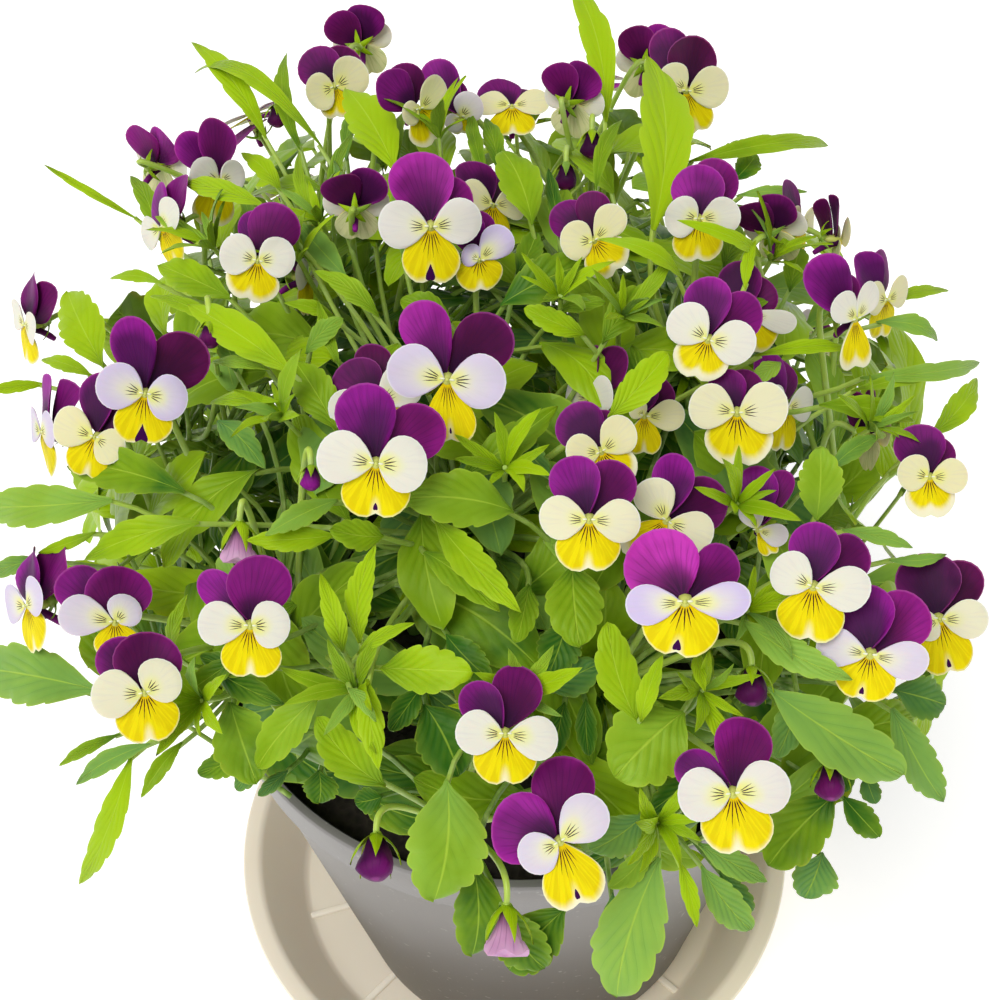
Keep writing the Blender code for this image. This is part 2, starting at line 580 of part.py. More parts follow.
def bloom_mesh(size, outline, joined):
    """A bloom in its own frame, facing +Z with its throat at the origin, as points, faces and each face's
    look. Each petal is a fan about a raised middle, alike on both faces, and starts in a three-cornered
    root. The throat joins the roots and runs back to the calyx, short of it unless joined, with the spur
    under it."""
    points, faces, looks, roots = [], [], [], []
    for petal in PETALS:
        length, width = petal.length * size, petal.width * size
        angle, tilt = math.radians(petal.angle), math.radians(petal.tilt)
        level = Vector((math.cos(angle), math.sin(angle), 0))
        along = math.cos(tilt) * level + Vector((0, 0, math.sin(tilt)))
        side = Vector((math.sin(angle), -math.cos(angle), 0))
        normal = side.cross(along)
        start = Vector((0, 0, petal.depth * size))
        root = start + along * ROOT_REACH * size
        edge = [root - side * ROOT_WIDTH * size]
        edge += [start + along * share * length - side * wide * width for share, wide in outline]
        if petal.notch or outline == PLAIN_OUTLINE:
            edge.append(start + along * (1 - petal.notch) * length)
        edge += [start + along * share * length + side * wide * width for share, wide in reversed(outline)]
        edge.append(root + side * ROOT_WIDTH * size)
        middle = start + along * PETAL_MIDDLE * length + normal * PETAL_SWELL * size
        rib = normal * BLADE_THICKNESS / 2
        left, right = len(points), len(points) + len(edge) - 1
        over, under, top = right + 1, right + 2, right + 3
        points += edge + [middle + rib, middle - rib, root + rib]
        for centre in (over, under):
            faces += [(i, i + 1, centre) for i in range(left, right)]
        faces += [(left, top, over), (top, right, over), (left, right, under)]
        looks += [petal.look] * (2 * len(edge) + 1)
        roots.append((left, top, right))
    front, back, spur = len(points), len(points) + 1, len(points) + 2
    points.append(Vector((0, 0, THROAT_FRONT * size)))
    points.append(Vector((0, CALYX_HEIGHT * size, -CALYX_DEPTH * size)))
    points.append(SPUR_TIP * size)
    if not joined:
        points[back].z += CALYX_FRONT * size + FIT_GAP
    lowest = min(roots, key=lambda root: points[root[1]].y)
    for (left, top, right), following in zip(roots, roots[1:] + roots[:1]):
        # Each petal's left side meets the next one's right side
        after = following[2]
        faces += [(top, left, front), (top, right, front), (left, after, front), (left, after, back)]
        looks += ["petal_yellow"] * 4
        if left == lowest[0]:
            faces += [(left, right, spur), (left, spur, back), (spur, right, back)]
            looks += ["petal_purple"] * 3
        else:
            faces.append((left, right, back))
            looks.append("petal_yellow")
    return points, faces, looks


def tube_mesh(points, radii):
    """A closed three-sided tube along points, with flat ends."""
    upright = abs((points[-1] - points[0]).normalized().z) > 0.9
    reference = Vector((1, 0, 0)) if upright else Vector((0, 0, 1))
    corners = []
    for i, point in enumerate(points):
        ahead = points[min(i + 1, len(points) - 1)] - points[max(i - 1, 0)]
        across = ahead.cross(reference).normalized()
        above = across.cross(ahead).normalized()
        for j in range(3):
            angle = math.tau * j / 3
            corners.append(point + radii[i] * (math.cos(angle) * across + math.sin(angle) * above))
    faces = []
    for i in range(len(points) - 1):
        for j in range(3):
            k = (j + 1) % 3
            a, b, c, d = i * 3 + j, i * 3 + k, i * 3 + 3 + k, i * 3 + 3 + j
            faces += [(a, b, c), (a, c, d)]
    last = len(corners) - 3
    faces += [(0, 1, 2), (last, last + 1, last + 2)]
    return corners, faces


def stalk_mesh(frame, size, root):
    """A flower's stalk, from its root on a shoot up and over to the bloom's back, and its calyx, a star of
    pointed sepals whose thick middle the bloom sits on."""
    hook = frame @ (Vector((0, CALYX_HEIGHT + HOOK_RISE, -HOOK_DEPTH)) * size)
    middle = root + 0.6 * (hook - root) + Vector((0, 0, STALK_ARCH * (hook - root).length))
    points, faces = tube_mesh([root, middle], [STALK_RADIUS] * 2)
    faces.pop()
    # The tube's end is turned to face the star, its corners matched to the ones before with the least twist
    before = points[-3:]
    ends = []
    for angle in (90, -30, -150):
        across = Vector((math.cos(math.radians(angle)), math.sin(math.radians(angle)), 0))
        ends.append(hook + frame.to_3x3() @ across * STALK_RADIUS)
    twists = [sum((before[j] - ends[(j + turn) % 3]).length for j in range(3)) for turn in range(3)]
    turn = twists.index(min(twists))
    ring = [len(points) + j for j in range(3)]
    points += [ends[(j + turn) % 3] for j in range(3)]
    for j in range(3):
        k = (j + 1) % 3
        faces += [(ring[j] - 3, ring[k] - 3, ring[k]), (ring[j] - 3, ring[k], ring[j])]
    # The star, of tips and notches in turn
    corners = 2 * SEPAL_COUNT
    star = [len(points) + i for i in range(corners)]
    for i in range(corners):
        angle = math.radians(90) + math.tau * i / corners
        reach, sweep = (SEPAL_NOTCH, 0) if i % 2 else (SEPAL_LENGTH, SEPAL_SWEEP)
        across = Vector((math.cos(angle), math.sin(angle), 0)) * reach
        points.append(frame @ ((across + Vector((0, CALYX_HEIGHT, -CALYX_DEPTH - sweep))) * size))
    front = len(points)
    points.append(frame @ (Vector((0, CALYX_HEIGHT, CALYX_FRONT - CALYX_DEPTH)) * size))
    faces += [(star[i], star[(i + 1) % corners], front) for i in range(corners)]
    # The star's back runs down to the stalk's end, a few sepals to each corner
    upper, right, left = [ring[(k - turn) % 3] for k in range(3)]
    backs = [upper] * 2 + [left] * 3 + [right] * 4 + [upper]
    for i in range(corners):
        a, b = backs[i], backs[(i + 1) % corners]
        faces.append((star[i], star[(i + 1) % corners], a))
        if a != b:
            faces.append((star[(i + 1) % corners], a, b))
    return points, faces


def bud_mesh(frame, size):
    """A closed bud, a spindle that starts in its calyx and points ahead."""
    points = []
    for ahead, wide in BUD_RINGS:
        for j in range(BUD_SIDES):
            angle = math.tau * j / BUD_SIDES
            points.append(Vector((math.cos(angle) * wide, math.sin(angle) * wide + CALYX_HEIGHT, ahead)))
    back, tip = len(points), len(points) + 1
    points += [Vector((0, CALYX_HEIGHT, BUD_BACK)), Vector((0, CALYX_HEIGHT, BUD_FRONT))]
    faces = []
    for i in range(len(BUD_RINGS) - 1):
        for j in range(BUD_SIDES):
            a, b = i * BUD_SIDES + j, i * BUD_SIDES + (j + 1) % BUD_SIDES
            faces += [(a, b, b + BUD_SIDES), (a, b + BUD_SIDES, a + BUD_SIDES)]
    last = back - BUD_SIDES
    for j in range(BUD_SIDES):
        k = (j + 1) % BUD_SIDES
        faces += [(k, j, back), (last + j, last + k, tip)]
    return [frame @ (p * size) for p in points], faces


def bezier(start, middle, end, count):
    """Points along a curve that leaves the start towards the middle."""
    steps = [i / count for i in range(count + 1)]
    return [(1 - t) ** 2 * start + 2 * t * (1 - t) * middle + t * t * end for t in steps]


def inflated(mesh, amount):
    """The same points and faces, each point moved out along its normal: a probe for clearances."""
    points, faces = mesh
    shape = bmesh.new()
    corners = [shape.verts.new(p) for p in points]
    for face in faces:
        shape.faces.new([corners[i] for i in face])
    bmesh.ops.recalc_face_normals(shape, faces=shape.faces)
    shape.normal_update()
    moved = [v.co + v.normal * amount for v in shape.verts]
    shape.free()
    return moved, faces


def extent(points):
    """The corners of a box round points."""
    return [min(p[i] for p in points) for i in range(3)], [max(p[i] for p in points) for i in range(3)]


def add_obstacle(name, stem, kind, mesh):
    """Notes a piece that later ones keep clear of."""
    obstacles.append(Obstacle(name, stem, kind, *extent(mesh[0]), BVHTree.FromPolygons(*mesh)))


def is_clear(mesh, stem, crossing, own_bloom=""):
    """Whether a green piece stays clear of the pot, the blooms, the other stems' pieces and its own stem's,
    apart from the kinds that it may cross there. Its own bloom only has to be uncrossed."""
    probe = inflated(mesh, FIT_GAP)
    tree = BVHTree.FromPolygons(*probe)
    low, high = extent(probe[0])
    for other in obstacles:
        if other.stem == stem and other.kind in crossing:
            continue
        if any(other.high[i] < low[i] or other.low[i] > high[i] for i in range(3)):
            continue
        if other.name == own_bloom:
            if BVHTree.FromPolygons(*mesh).overlap(other.tree):
                return False
        elif tree.overlap(other.tree):
            return False
    return True


def mesh_of(piece):
    """An object's points and faces."""
    return [v.co.copy() for v in piece.data.vertices], [tuple(p.vertices) for p in piece.data.polygons]


# Start from an empty scene
for existing in list(bpy.data.objects):
    bpy.data.objects.remove(existing, do_unlink=True)

pot_grey = look("pot_grey", (0.24, 0.235, 0.255), 0.42)
saucer_cream = look("saucer_cream", (0.72, 0.66, 0.58), 0.35)
soil_brown = look("soil_brown", (0.045, 0.032, 0.024), 0.95)
leaf_green = look("leaf_green", (0.22, 0.42, 0.05), 0.5)
petal_looks = {
    "petal_purple": look("petal_purple", (0.19, 0.012, 0.20), 0.6),
    "petal_white": look("petal_white", (0.88, 0.87, 0.80), 0.55),
    "petal_yellow": look("petal_yellow", (0.92, 0.72, 0.03), 0.55),
}

# The saucer: a flat floor, a sloping wall and a flat lip, with low ribs across the floor
saucer_profile = [
    (0, 0),
    (SAUCER_FLOOR_RADIUS, 0),
    (SAUCER_RADIUS - SAUCER_LIP - SAUCER_WALL, SAUCER_HEIGHT - SAUCER_WALL),
    (SAUCER_RADIUS, SAUCER_HEIGHT - SAUCER_WALL),
    (SAUCER_RADIUS, SAUCER_HEIGHT),
    (SAUCER_RADIUS - SAUCER_LIP - 2 * SAUCER_WALL, SAUCER_HEIGHT),
    (SAUCER_FLOOR_RADIUS - SAUCER_WALL, SAUCER_WALL),
    (0, SAUCER_WALL),
]
saucer = turned("saucer", saucer_profile, Vector((0, 0, 0)), saucer_cream)
ribs = []
for i in range(RIB_COUNT):
    turn = Matrix.Rotation(math.tau * (i + 0.5) / RIB_COUNT, 4, "Z")
    reaches = (RIB_INNER_RADIUS, RIB_OUTER_RADIUS)
    halves = (-RIB_WIDTH / 2, RIB_WIDTH / 2)
    heights = (SAUCER_WALL / 2, SAUCER_WALL + RIB_HEIGHT)
    corners = [turn @ Vector((x, y, z)) for x in reaches for y in halves for z in heights]
    sides = [(0, 1, 3, 2), (4, 6, 7, 5), (0, 4, 5, 1), (2, 3, 7, 6), (0, 2, 6, 4), (1, 5, 7, 3)]
    ribs.append(solid("rib", corners, sides, saucer_cream))
combine(saucer, ribs, "UNION", "EXACT")

# The pot: from the drained floor up the tapered wall to the collar and the rim
ring_radius = POT_FOOT_RADIUS - FOOT_RING_WIDTH
under_floor_z = POT_FOOT_Z + FOOT_RING_HEIGHT
floor_z = under_floor_z + POT_FLOOR
pot_profile = [
    (0, under_floor_z),
    (ring_radius, under_floor_z),
    (ring_radius, POT_FOOT_Z),
    (POT_FOOT_RADIUS, POT_FOOT_Z),
    (UNDER_COLLAR_RADIUS, COLLAR_Z),
    (POT_RADIUS - COLLAR_DRAFT, COLLAR_Z),
    (POT_RADIUS - RIM_ROUND / 2, POT_RIM_Z - 2 * RIM_ROUND),
    (POT_RADIUS, POT_RIM_Z - RIM_ROUND),
    (POT_RADIUS - RIM_ROUND, POT_RIM_Z),
    (POT_RADIUS - POT_WALL - RIM_ROUND, POT_RIM_Z),
    (UNDER_COLLAR_RADIUS - POT_WALL, COLLAR_Z - COLLAR_STEP),
    (POT_FOOT_RADIUS - POT_WALL, floor_z),
    (0, floor_z),
]
pot = turned("pot", pot_profile, POT_AT, pot_grey)
drains = []
for i in range(DRAIN_COUNT):
    at = POT_AT + DRAIN_CIRCLE * direction_at(360 * i / DRAIN_COUNT, 0)
    drains.append(prism("drain", DRAIN_RADIUS, 8, 0, POT_FOOT_Z + DRAIN_CUT, at, pot_grey))
combine(pot, drains, "DIFFERENCE", "EXACT")


def soil_radius(z):
    """The pot's inner radius at a height, less the gap that keeps the soil clear of its wall."""
    share = (z - floor_z) / (COLLAR_Z - COLLAR_STEP - floor_z)
    low, high = POT_FOOT_RADIUS - POT_WALL, UNDER_COLLAR_RADIUS - POT_WALL
    return low + min(share, 1) * (high - low) - FIT_GAP


# The soil: it fills the pot, its top a little bumpy, with a plain hole for each stem
rng = random.Random(SEED)
soil_edge_z = SOIL_Z - SOIL_SLOPE
edge_radius = soil_radius(soil_edge_z)
soil_profile = [
    (0, floor_z + FIT_GAP),
    (soil_radius(floor_z + FIT_GAP), floor_z + FIT_GAP),
    (edge_radius, soil_edge_z),
    (0.86 * edge_radius, SOIL_Z),
    (0.5 * edge_radius, SOIL_Z + SOIL_CROWN),
    (0, SOIL_Z),
]
soil = turned("soil", soil_profile, POT_AT, soil_brown)
for vertex in soil.data.vertices:
    if vertex.co.z > soil_edge_z + SOIL_CROWN:
        vertex.co.z += rng.uniform(-SOIL_BUMPS, SOIL_BUMPS)
soil_mesh = bmesh.new()
soil_mesh.from_mesh(soil.data)
bmesh.ops.triangulate(soil_mesh, faces=soil_mesh.faces)
soil_mesh.to_mesh(soil.data)
soil_mesh.free()

# The stems' feet stand in the soil's holes, a ring of them and one in the middle
feet = [POT_AT + STEM_CIRCLE * direction_at(bearing, 0) for bearing in STEM_BEARINGS]
feet.append(POT_AT + MIDDLE_STEM)
holes = []
for foot in feet:
    holes.append(prism("hole", HOLE_RADIUS, 8, SOIL_Z - HOLE_DEPTH, SOIL_Z + HOLE_CUT, foot, soil_brown))
combine(soil, holes, "DIFFERENCE", "EXACT")
stem_pieces = []
for foot in feet:
    low, high = SOIL_Z - HOLE_DEPTH + FIT_GAP, SOIL_Z + STEM_RISE
    stem_pieces.append([prism("foot", STEM_RADIUS, 6, low, high, foot, leaf_green)])

# The shoots, which branch from each foot and curve out and up towards the dome. The samples are the places
# on them from which stalks and leaves can grow
shoots = []
for stem, bearing in enumerate(STEM_BEARINGS):
    shoots += [(stem, direction_at(bearing + off, height)) for off, height in SIDE_SHOOTS]
shoots += [(len(STEM_BEARINGS), direction_at(bearing, height)) for bearing, height in TOP_SHOOTS]
stem_samples = []
shoot_paths = []
for number, (stem, direction) in enumerate(shoots):
    start = feet[stem] + Vector((0, 0, SOIL_Z + SHOOT_START + SHOOT_SPACING * (number % 4)))
    run = dome_point(direction, SHOOT_REACH) - start
    rise = SHOOT_ARCH * run.length * (1 - 0.5 * direction.z)
    path = bezier(start, start + SHOOT_LEAN * run + Vector((0, 0, rise)), start + run, SHOOT_SEGMENTS)
    thick, taper = SHOOT_TAPER
    radii = [SHOOT_RADIUS * (thick - taper * i / SHOOT_SEGMENTS) for i in range(SHOOT_SEGMENTS + 1)]
    stem_pieces[stem].append(solid("shoot", *tube_mesh(path, radii), leaf_green))
    shoot_paths.append((stem, path))
    for before, after in zip(path[1:], path[2:]):
        stem_samples += [(stem, before.lerp(after, share)) for share in SAMPLE_SHARES]

# The blooms: where each stands and how it faces
places = []
for bloom in BLOOMS:
    at, depth = on_dome(bloom.at, bloom.lift * MM)
    size = min(max(bloom.span * depth / VIEW_FOCAL, BLOOM_SMALLEST), BLOOM_LARGEST)
    frame = facing(at, RIGHT, (EYE - at).normalized(), bloom.turn, bloom.nod, bloom.roll)
    outline = PETAL_OUTLINE if bloom.own else PLAIN_OUTLINE
    places.append((f"bloom_{bloom.name}", frame, size, outline, bloom.own))
for name, bearing, height in FAR_BLOOMS:
    direction = direction_at(bearing, height)
    right = Vector((0, 0, 1)).cross(direction)
    ahead = (direction + Vector((0, 0, FAR_BLOOM_LIFT))).normalized()
    roll = rng.uniform(-FAR_BLOOM_ROLL, FAR_BLOOM_ROLL)
    frame = facing(dome_point(direction), right, ahead, 0, 0, roll)
    places.append((f"bloom_far_{name}", frame, FAR_BLOOM_WIDTH, PLAIN_OUTLINE, True))

blooms = {}
for name, frame, size, outline, own in places:
    points, faces, face_looks = bloom_mesh(size, outline, not own)
    points = [frame @ p for p in points]
    bloom = solid(name, points, faces, petal_looks["petal_purple"])
    bloom.data.materials.append(petal_looks["petal_white"])
    bloom.data.materials.append(petal_looks["petal_yellow"])
    order = list(petal_looks)
    for face, face_look in zip(bloom.data.polygons, face_looks):
        face.material_index = order.index(face_look)
    blooms[name] = bloom
    add_obstacle(name, None, "bloom", (points, faces))
for piece in (pot, saucer, soil):
    add_obstacle(piece.name, None, "base", mesh_of(piece))
for stem, pieces in enumerate(stem_pieces):
    for piece in pieces:
        add_obstacle("shoot", stem, "shoot", mesh_of(piece))


def grow(stem, kind, mesh):
    """Adds a green piece to a stem."""
    stem_pieces[stem].append(solid(kind, *mesh, leaf_green))
    add_obstacle(kind, stem, kind, mesh)


def nearest_roots(target, count):
    """The places on the shoots that lie nearest to a point, each with its stem."""
    return sorted(stem_samples, key=lambda sample: (sample[1] - target).length)[:count]


def grow_stalk(frame, size, own_bloom="", bud=None):
    """A stalk with its calyx, and its bud if it has one, on the first root from which they run clear.
    Returns the stem."""
    at = frame.translation
    down = (outward(at) * 0.6 + Vector((0, 0, 0.4))).normalized()
    for stem, root in nearest_roots(at - STALK_LENGTH * down, STALK_ROOTS):
        meshes = [stalk_mesh(frame, size, root)] + ([bud] if bud else [])
        if all(is_clear(mesh, stem, ("shoot", "stalk"), own_bloom) for mesh in meshes):
            for mesh in meshes:
                grow(stem, "stalk", mesh)
            return stem
    return None


# Each bloom's stalk, and the buds. A bloom that hides behind others is fused to its stalk
for name, frame, size, outline, own in places:
    if own:
        grow_stalk(frame, size, name)
    else:
        joined = [other for other in obstacles if other.name == name][0]
        obstacles.remove(joined)
        stem = grow_stalk(frame, size)
        stem_pieces[stem].append(blooms[name])
        obstacles.append(joined)
for bud in BUDS:
    at, depth = on_dome(bud.at, bud.lift * MM)
    size = BUD_SCALE * bud.span * depth / VIEW_FOCAL
    frame = facing(at, RIGHT, (EYE - at).normalized(), 0, BUD_NOD, 0)
    grow_stalk(frame, size, bud=bud_mesh(frame, size))


def grow_leaf(leaf, shift, crossing):
    """A leaf that shows, moved off its place by a shift, on the first root from which it runs clear, if
    any."""
    base, base_depth = on_dome(leaf.base, (leaf.base_lift + shift) * MM)
    tip, tip_depth = on_dome(leaf.tip, (leaf.tip_lift + shift) * MM)
    width = leaf.wide * (base_depth + tip_depth) / 2 / VIEW_FOCAL
    along = (tip - base).normalized()
    roots = nearest_roots(base - LEAF_SEAT * outward(base), LEAF_NEAREST)
    roots = [(stem, root) for stem, root in roots if (base - root).normalized().dot(along) > LEAF_LEAN]
    for stem, root in roots[:LEAF_ROOTS]:
        mesh = leaf_mesh(root, base, tip, width, leaf.arch)
        if is_clear(mesh, stem, crossing):
            grow(stem, "leaf", mesh)
            return True
    return False


# The leaves that show, the widest first. One that can't run clear of its own stem's stalks is fused to them
for leaf in sorted(LEAVES, key=lambda leaf: -leaf.wide):
    tries = [(shift, crossing) for crossing in (("shoot",), ("shoot", "stalk")) for shift in LEAF_SHIFTS]
    any(grow_leaf(leaf, shift, crossing) for shift, crossing in tries)

# The leaves between, spiralling up each shoot
for number, (stem, path) in enumerate(shoot_paths):
    for i, share in enumerate(FAR_FILLERS if stem in FAR_STEMS else NEAR_FILLERS):
        step = share * (len(path) - 1)
        k = min(int(step), len(path) - 2)
        root = path[k].lerp(path[k + 1], step - k)
        along = (path[k + 1] - path[k]).normalized()
        for attempt in range(FILLER_TRIES):
            angle = GOLDEN_ANGLE * (i + SHOOT_TWIST * number) + attempt * FILLER_TURN
            around = Matrix.Rotation(angle, 3, along) @ along.orthogonal().normalized()
            direction = (0.5 * along + 0.9 * around + 0.35 * outward(root)).normalized()
            tip = root + FILLER_LENGTH * direction - Vector((0, 0, FILLER_DROOP))
            mesh = leaf_mesh(None, root, tip, FILLER_WIDTH, FILLER_ARCH)
            if is_clear(mesh, stem, ("shoot",)):
                grow(stem, "leaf", mesh)
                break

# Each stem's foot, shoots, stalks, buds, leaves and hidden blooms become one body
for stem, pieces in enumerate(stem_pieces):
    fuse(f"leafy_stem_{stem}", pieces)
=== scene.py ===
"""The looks of the potted horned violet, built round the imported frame. Metres, +Z up, with the origin under
the middle of the saucer."""

import math
import random
from collections import namedtuple

import bpy
import numpy as np
from mathutils import Matrix, Vector


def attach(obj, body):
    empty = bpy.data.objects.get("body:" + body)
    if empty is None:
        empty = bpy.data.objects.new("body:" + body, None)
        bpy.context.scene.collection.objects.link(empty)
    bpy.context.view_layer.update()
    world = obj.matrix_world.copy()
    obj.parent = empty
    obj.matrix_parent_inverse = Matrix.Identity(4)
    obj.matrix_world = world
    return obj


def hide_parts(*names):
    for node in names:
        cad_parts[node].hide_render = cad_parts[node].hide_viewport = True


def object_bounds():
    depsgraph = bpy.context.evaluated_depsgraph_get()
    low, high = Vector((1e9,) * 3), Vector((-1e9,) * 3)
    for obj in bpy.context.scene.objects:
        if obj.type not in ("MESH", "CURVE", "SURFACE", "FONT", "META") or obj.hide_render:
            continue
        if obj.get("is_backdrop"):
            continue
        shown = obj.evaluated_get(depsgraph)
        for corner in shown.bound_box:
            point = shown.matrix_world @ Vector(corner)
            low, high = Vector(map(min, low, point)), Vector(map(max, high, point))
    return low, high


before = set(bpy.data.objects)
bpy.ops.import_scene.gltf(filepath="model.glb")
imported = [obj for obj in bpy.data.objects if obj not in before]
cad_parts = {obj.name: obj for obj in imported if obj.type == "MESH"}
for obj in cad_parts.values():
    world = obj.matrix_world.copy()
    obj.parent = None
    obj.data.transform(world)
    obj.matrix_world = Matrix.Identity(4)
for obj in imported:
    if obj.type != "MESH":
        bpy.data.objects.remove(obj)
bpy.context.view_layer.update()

# The studio: the camera where the photograph was taken from, a white sheet of floor, and soft light from
# above and a little from the left
MM = 0.001
VIEW_AIM = Vector((0, -7.5, 209)) * MM
VIEW_DISTANCE = 442 * MM
VIEW_ELEVATION = math.radians(47.4)
VIEW_ROLL = math.radians(-2.3)
VIEW_FOCAL = 1600
VIEW_MIDDLE = 500
SENSOR = 36
SKY_STRENGTH = 0.56
SUN_STRENGTH = 2.0
SUN_SOFTNESS = math.radians(35)
TO_THE_SUN = Vector((-0.35, -0.40, 0.85))
FLOOR_SIZE = 12
BACK = Vector((0, -math.cos(VIEW_ELEVATION), math.sin(VIEW_ELEVATION)))
EYE = VIEW_AIM + VIEW_DISTANCE * BACK
LEVEL_RIGHT = Vector((1, 0, 0))
LEVEL_UP = LEVEL_RIGHT.cross(-BACK)
RIGHT = math.cos(VIEW_ROLL) * LEVEL_RIGHT + math.sin(VIEW_ROLL) * LEVEL_UP
UP = math.cos(VIEW_ROLL) * LEVEL_UP - math.sin(VIEW_ROLL) * LEVEL_RIGHT

scene = bpy.context.scene
camera = bpy.data.objects.new("camera", bpy.data.cameras.new("camera"))
camera.data.lens = SENSOR * VIEW_FOCAL / (2 * VIEW_MIDDLE)
camera.data.sensor_width = SENSOR
camera.matrix_world = Matrix.Translation(EYE) @ Matrix((RIGHT, UP, BACK)).transposed().to_4x4()
scene.collection.objects.link(camera)
scene.camera = camera
scene.view_settings.view_transform = "Standard"
scene.view_settings.look = "None"

scene.world = scene.world or bpy.data.worlds.new("studio")
scene.world.use_nodes = True
sky = scene.world.node_tree.nodes["Background"]
sky.inputs["Color"].default_value = (1, 1, 0.99, 1)
sky.inputs["Strength"].default_value = SKY_STRENGTH
sun = bpy.data.objects.new("sun", bpy.data.lights.new("sun", "SUN"))
sun.data.energy = SUN_STRENGTH
sun.data.angle = SUN_SOFTNESS
sun.data.color = (1, 0.985, 0.95)
sun.rotation_euler = TO_THE_SUN.to_track_quat("Z", "Y").to_euler()
scene.collection.objects.link(sun)


def surface(name, roughness):
    """A new material and its shader."""
    material = bpy.data.materials.new(name)
    material.use_nodes = True
    shader = material.node_tree.nodes["Principled BSDF"]
    shader.inputs["Roughness"].default_value = roughness
    return material, shader


white_sheet, shader = surface("white_sheet", 0.9)
shader.inputs["Base Color"].default_value = (0.93, 0.93, 0.93, 1)
shader.inputs["Emission Color"].default_value = (1, 1, 1, 1)
shader.inputs["Emission Strength"].default_value = 0.35
bpy.ops.object.select_all(action="DESELECT")
bpy.ops.mesh.primitive_plane_add(size=FLOOR_SIZE)
floor = bpy.context.object
floor.name = "floor"
floor.data.materials.append(white_sheet)
floor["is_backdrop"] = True


# The saucer: cream plastic, moulded in one piece, a little see-through. Its sloping wall ends in a flat lip,
# and low ribs run across its floor
SAUCER_RADIUS = 98.6 * MM
SAUCER_HEIGHT = 21 * MM
SAUCER_FLOOR_RADIUS = 80 * MM
SAUCER_LIP = 4 * MM
SAUCER_WALL = 1.8 * MM
RIB_HEIGHT = 1.2 * MM
RIB_WIDTH = 2.6 * MM
RIB_COUNT = 12
RIB_INNER_RADIUS = 24 * MM
RIB_OUTER_RADIUS = 78 * MM
RIB_BEVEL = 0.9 * MM
TURNED_SIDES = 160
SHARP_EDGE = math.radians(35)


def turned(name, profile, at):
    """A solid of rings, each drawn out of the one before, from the middle of its foot round to the middle
    of its inside. The profile gives their radii and heights."""
    bpy.ops.object.select_all(action="DESELECT")
    radius, z = profile[0]
    bpy.ops.mesh.primitive_circle_add(
        vertices=TURNED_SIDES, radius=radius, fill_type="NGON", location=(0, 0, z)
    )
    piece = bpy.context.object
    piece.name = name
    bpy.ops.object.mode_set(mode="EDIT")
    bpy.ops.mesh.select_all(action="SELECT")
    for next_radius, next_z in profile[1:]:
        bpy.ops.mesh.extrude_region_move(TRANSFORM_OT_translate={"value": (0, 0, next_z - z)})
        share = next_radius / radius
        bpy.ops.transform.resize(value=(share, share, 1), center_override=(0, 0, next_z))
        radius, z = next_radius, next_z
    bpy.ops.mesh.select_all(action="SELECT")
    bpy.ops.mesh.normals_make_consistent(inside=False)
    bpy.ops.transform.translate(value=at)
    bpy.ops.object.mode_set(mode="OBJECT")
    bpy.ops.object.transform_apply(location=True, rotation=True, scale=True)
    piece.data.shade_smooth()
    piece.data.set_sharp_from_angle(angle=SHARP_EDGE)
    return piece


def add(kind, *inputs, **settings):
    """Adds a node to the material of its inputs: numbers, colours or other nodes' outputs."""
    linked = [value for value in inputs if isinstance(value, bpy.types.NodeSocket)]
    made = linked[0].id_data.nodes.new("ShaderNode" + kind)
    for key, value in settings.items():
        setattr(made, key, value)
    for i, value in enumerate(inputs):
        if value in linked:
            made.id_data.links.new(value, made.inputs[i])
        elif value is not None:
            made.inputs[i].default_value = value
    return made.outputs[0]


def ramp(value, low, high, start=0.0, end=1.0):
    """Runs smoothly from start to end while a value runs from low to high."""
    return add("MapRange", value, low, high, start, end, interpolation_type="SMOOTHSTEP")


def mixed(share, first, second):
    """A colour between two, by a share."""
    linked = [value for value in (share, first, second) if isinstance(value, bpy.types.NodeSocket)]
    made = linked[0].id_data.nodes.new("ShaderNodeMix")
    made.data_type = "RGBA"
    for i, value in ((0, share), (6, first), (7, second)):
        if value in linked:
            made.id_data.links.new(value, made.inputs[i])
        else:
            made.inputs[i].default_value = (*value, 1) if isinstance(value, tuple) else value
    return made.outputs[2]


def grain(place, scale, detail=2.0):
    """Noise of a scale, from 0 to 1."""
    return add("TexNoise", place, None, scale, detail)


def on_piece(shader):
    """The place on a piece, in metres from the origin."""
    return shader.id_data.nodes.new("ShaderNodeTexCoord").outputs["Object"]


def parts(place):
    """The three numbers of a place."""
    split = place.id_data.nodes.new("ShaderNodeSeparateXYZ")
    place.id_data.links.new(place, split.inputs[0])
    return split.outputs


def paint(shader, tint):
    """Gives a shader its colour."""
    shader.id_data.links.new(tint, shader.inputs["Base Color"])


cream_plastic, shader = surface("cream_plastic", 0.32)
place = on_piece(shader)
tint = mixed(grain(place, 30), (0.86, 0.79, 0.69), (0.80, 0.72, 0.60))
# Painted light: the saucer turns lighter and warmer towards its right side, brightening it where the plant's
# shadow falls
tint = mixed(ramp(parts(place)[0], 0.02, 0.08), tint, (0.97, 0.87, 0.68))
paint(shader, tint)
shader.inputs["Subsurface Weight"].default_value = 0.25
shader.inputs["Subsurface Scale"].default_value = 4 * MM
shader.inputs["Subsurface Radius"].default_value = (1, 0.8, 0.6)

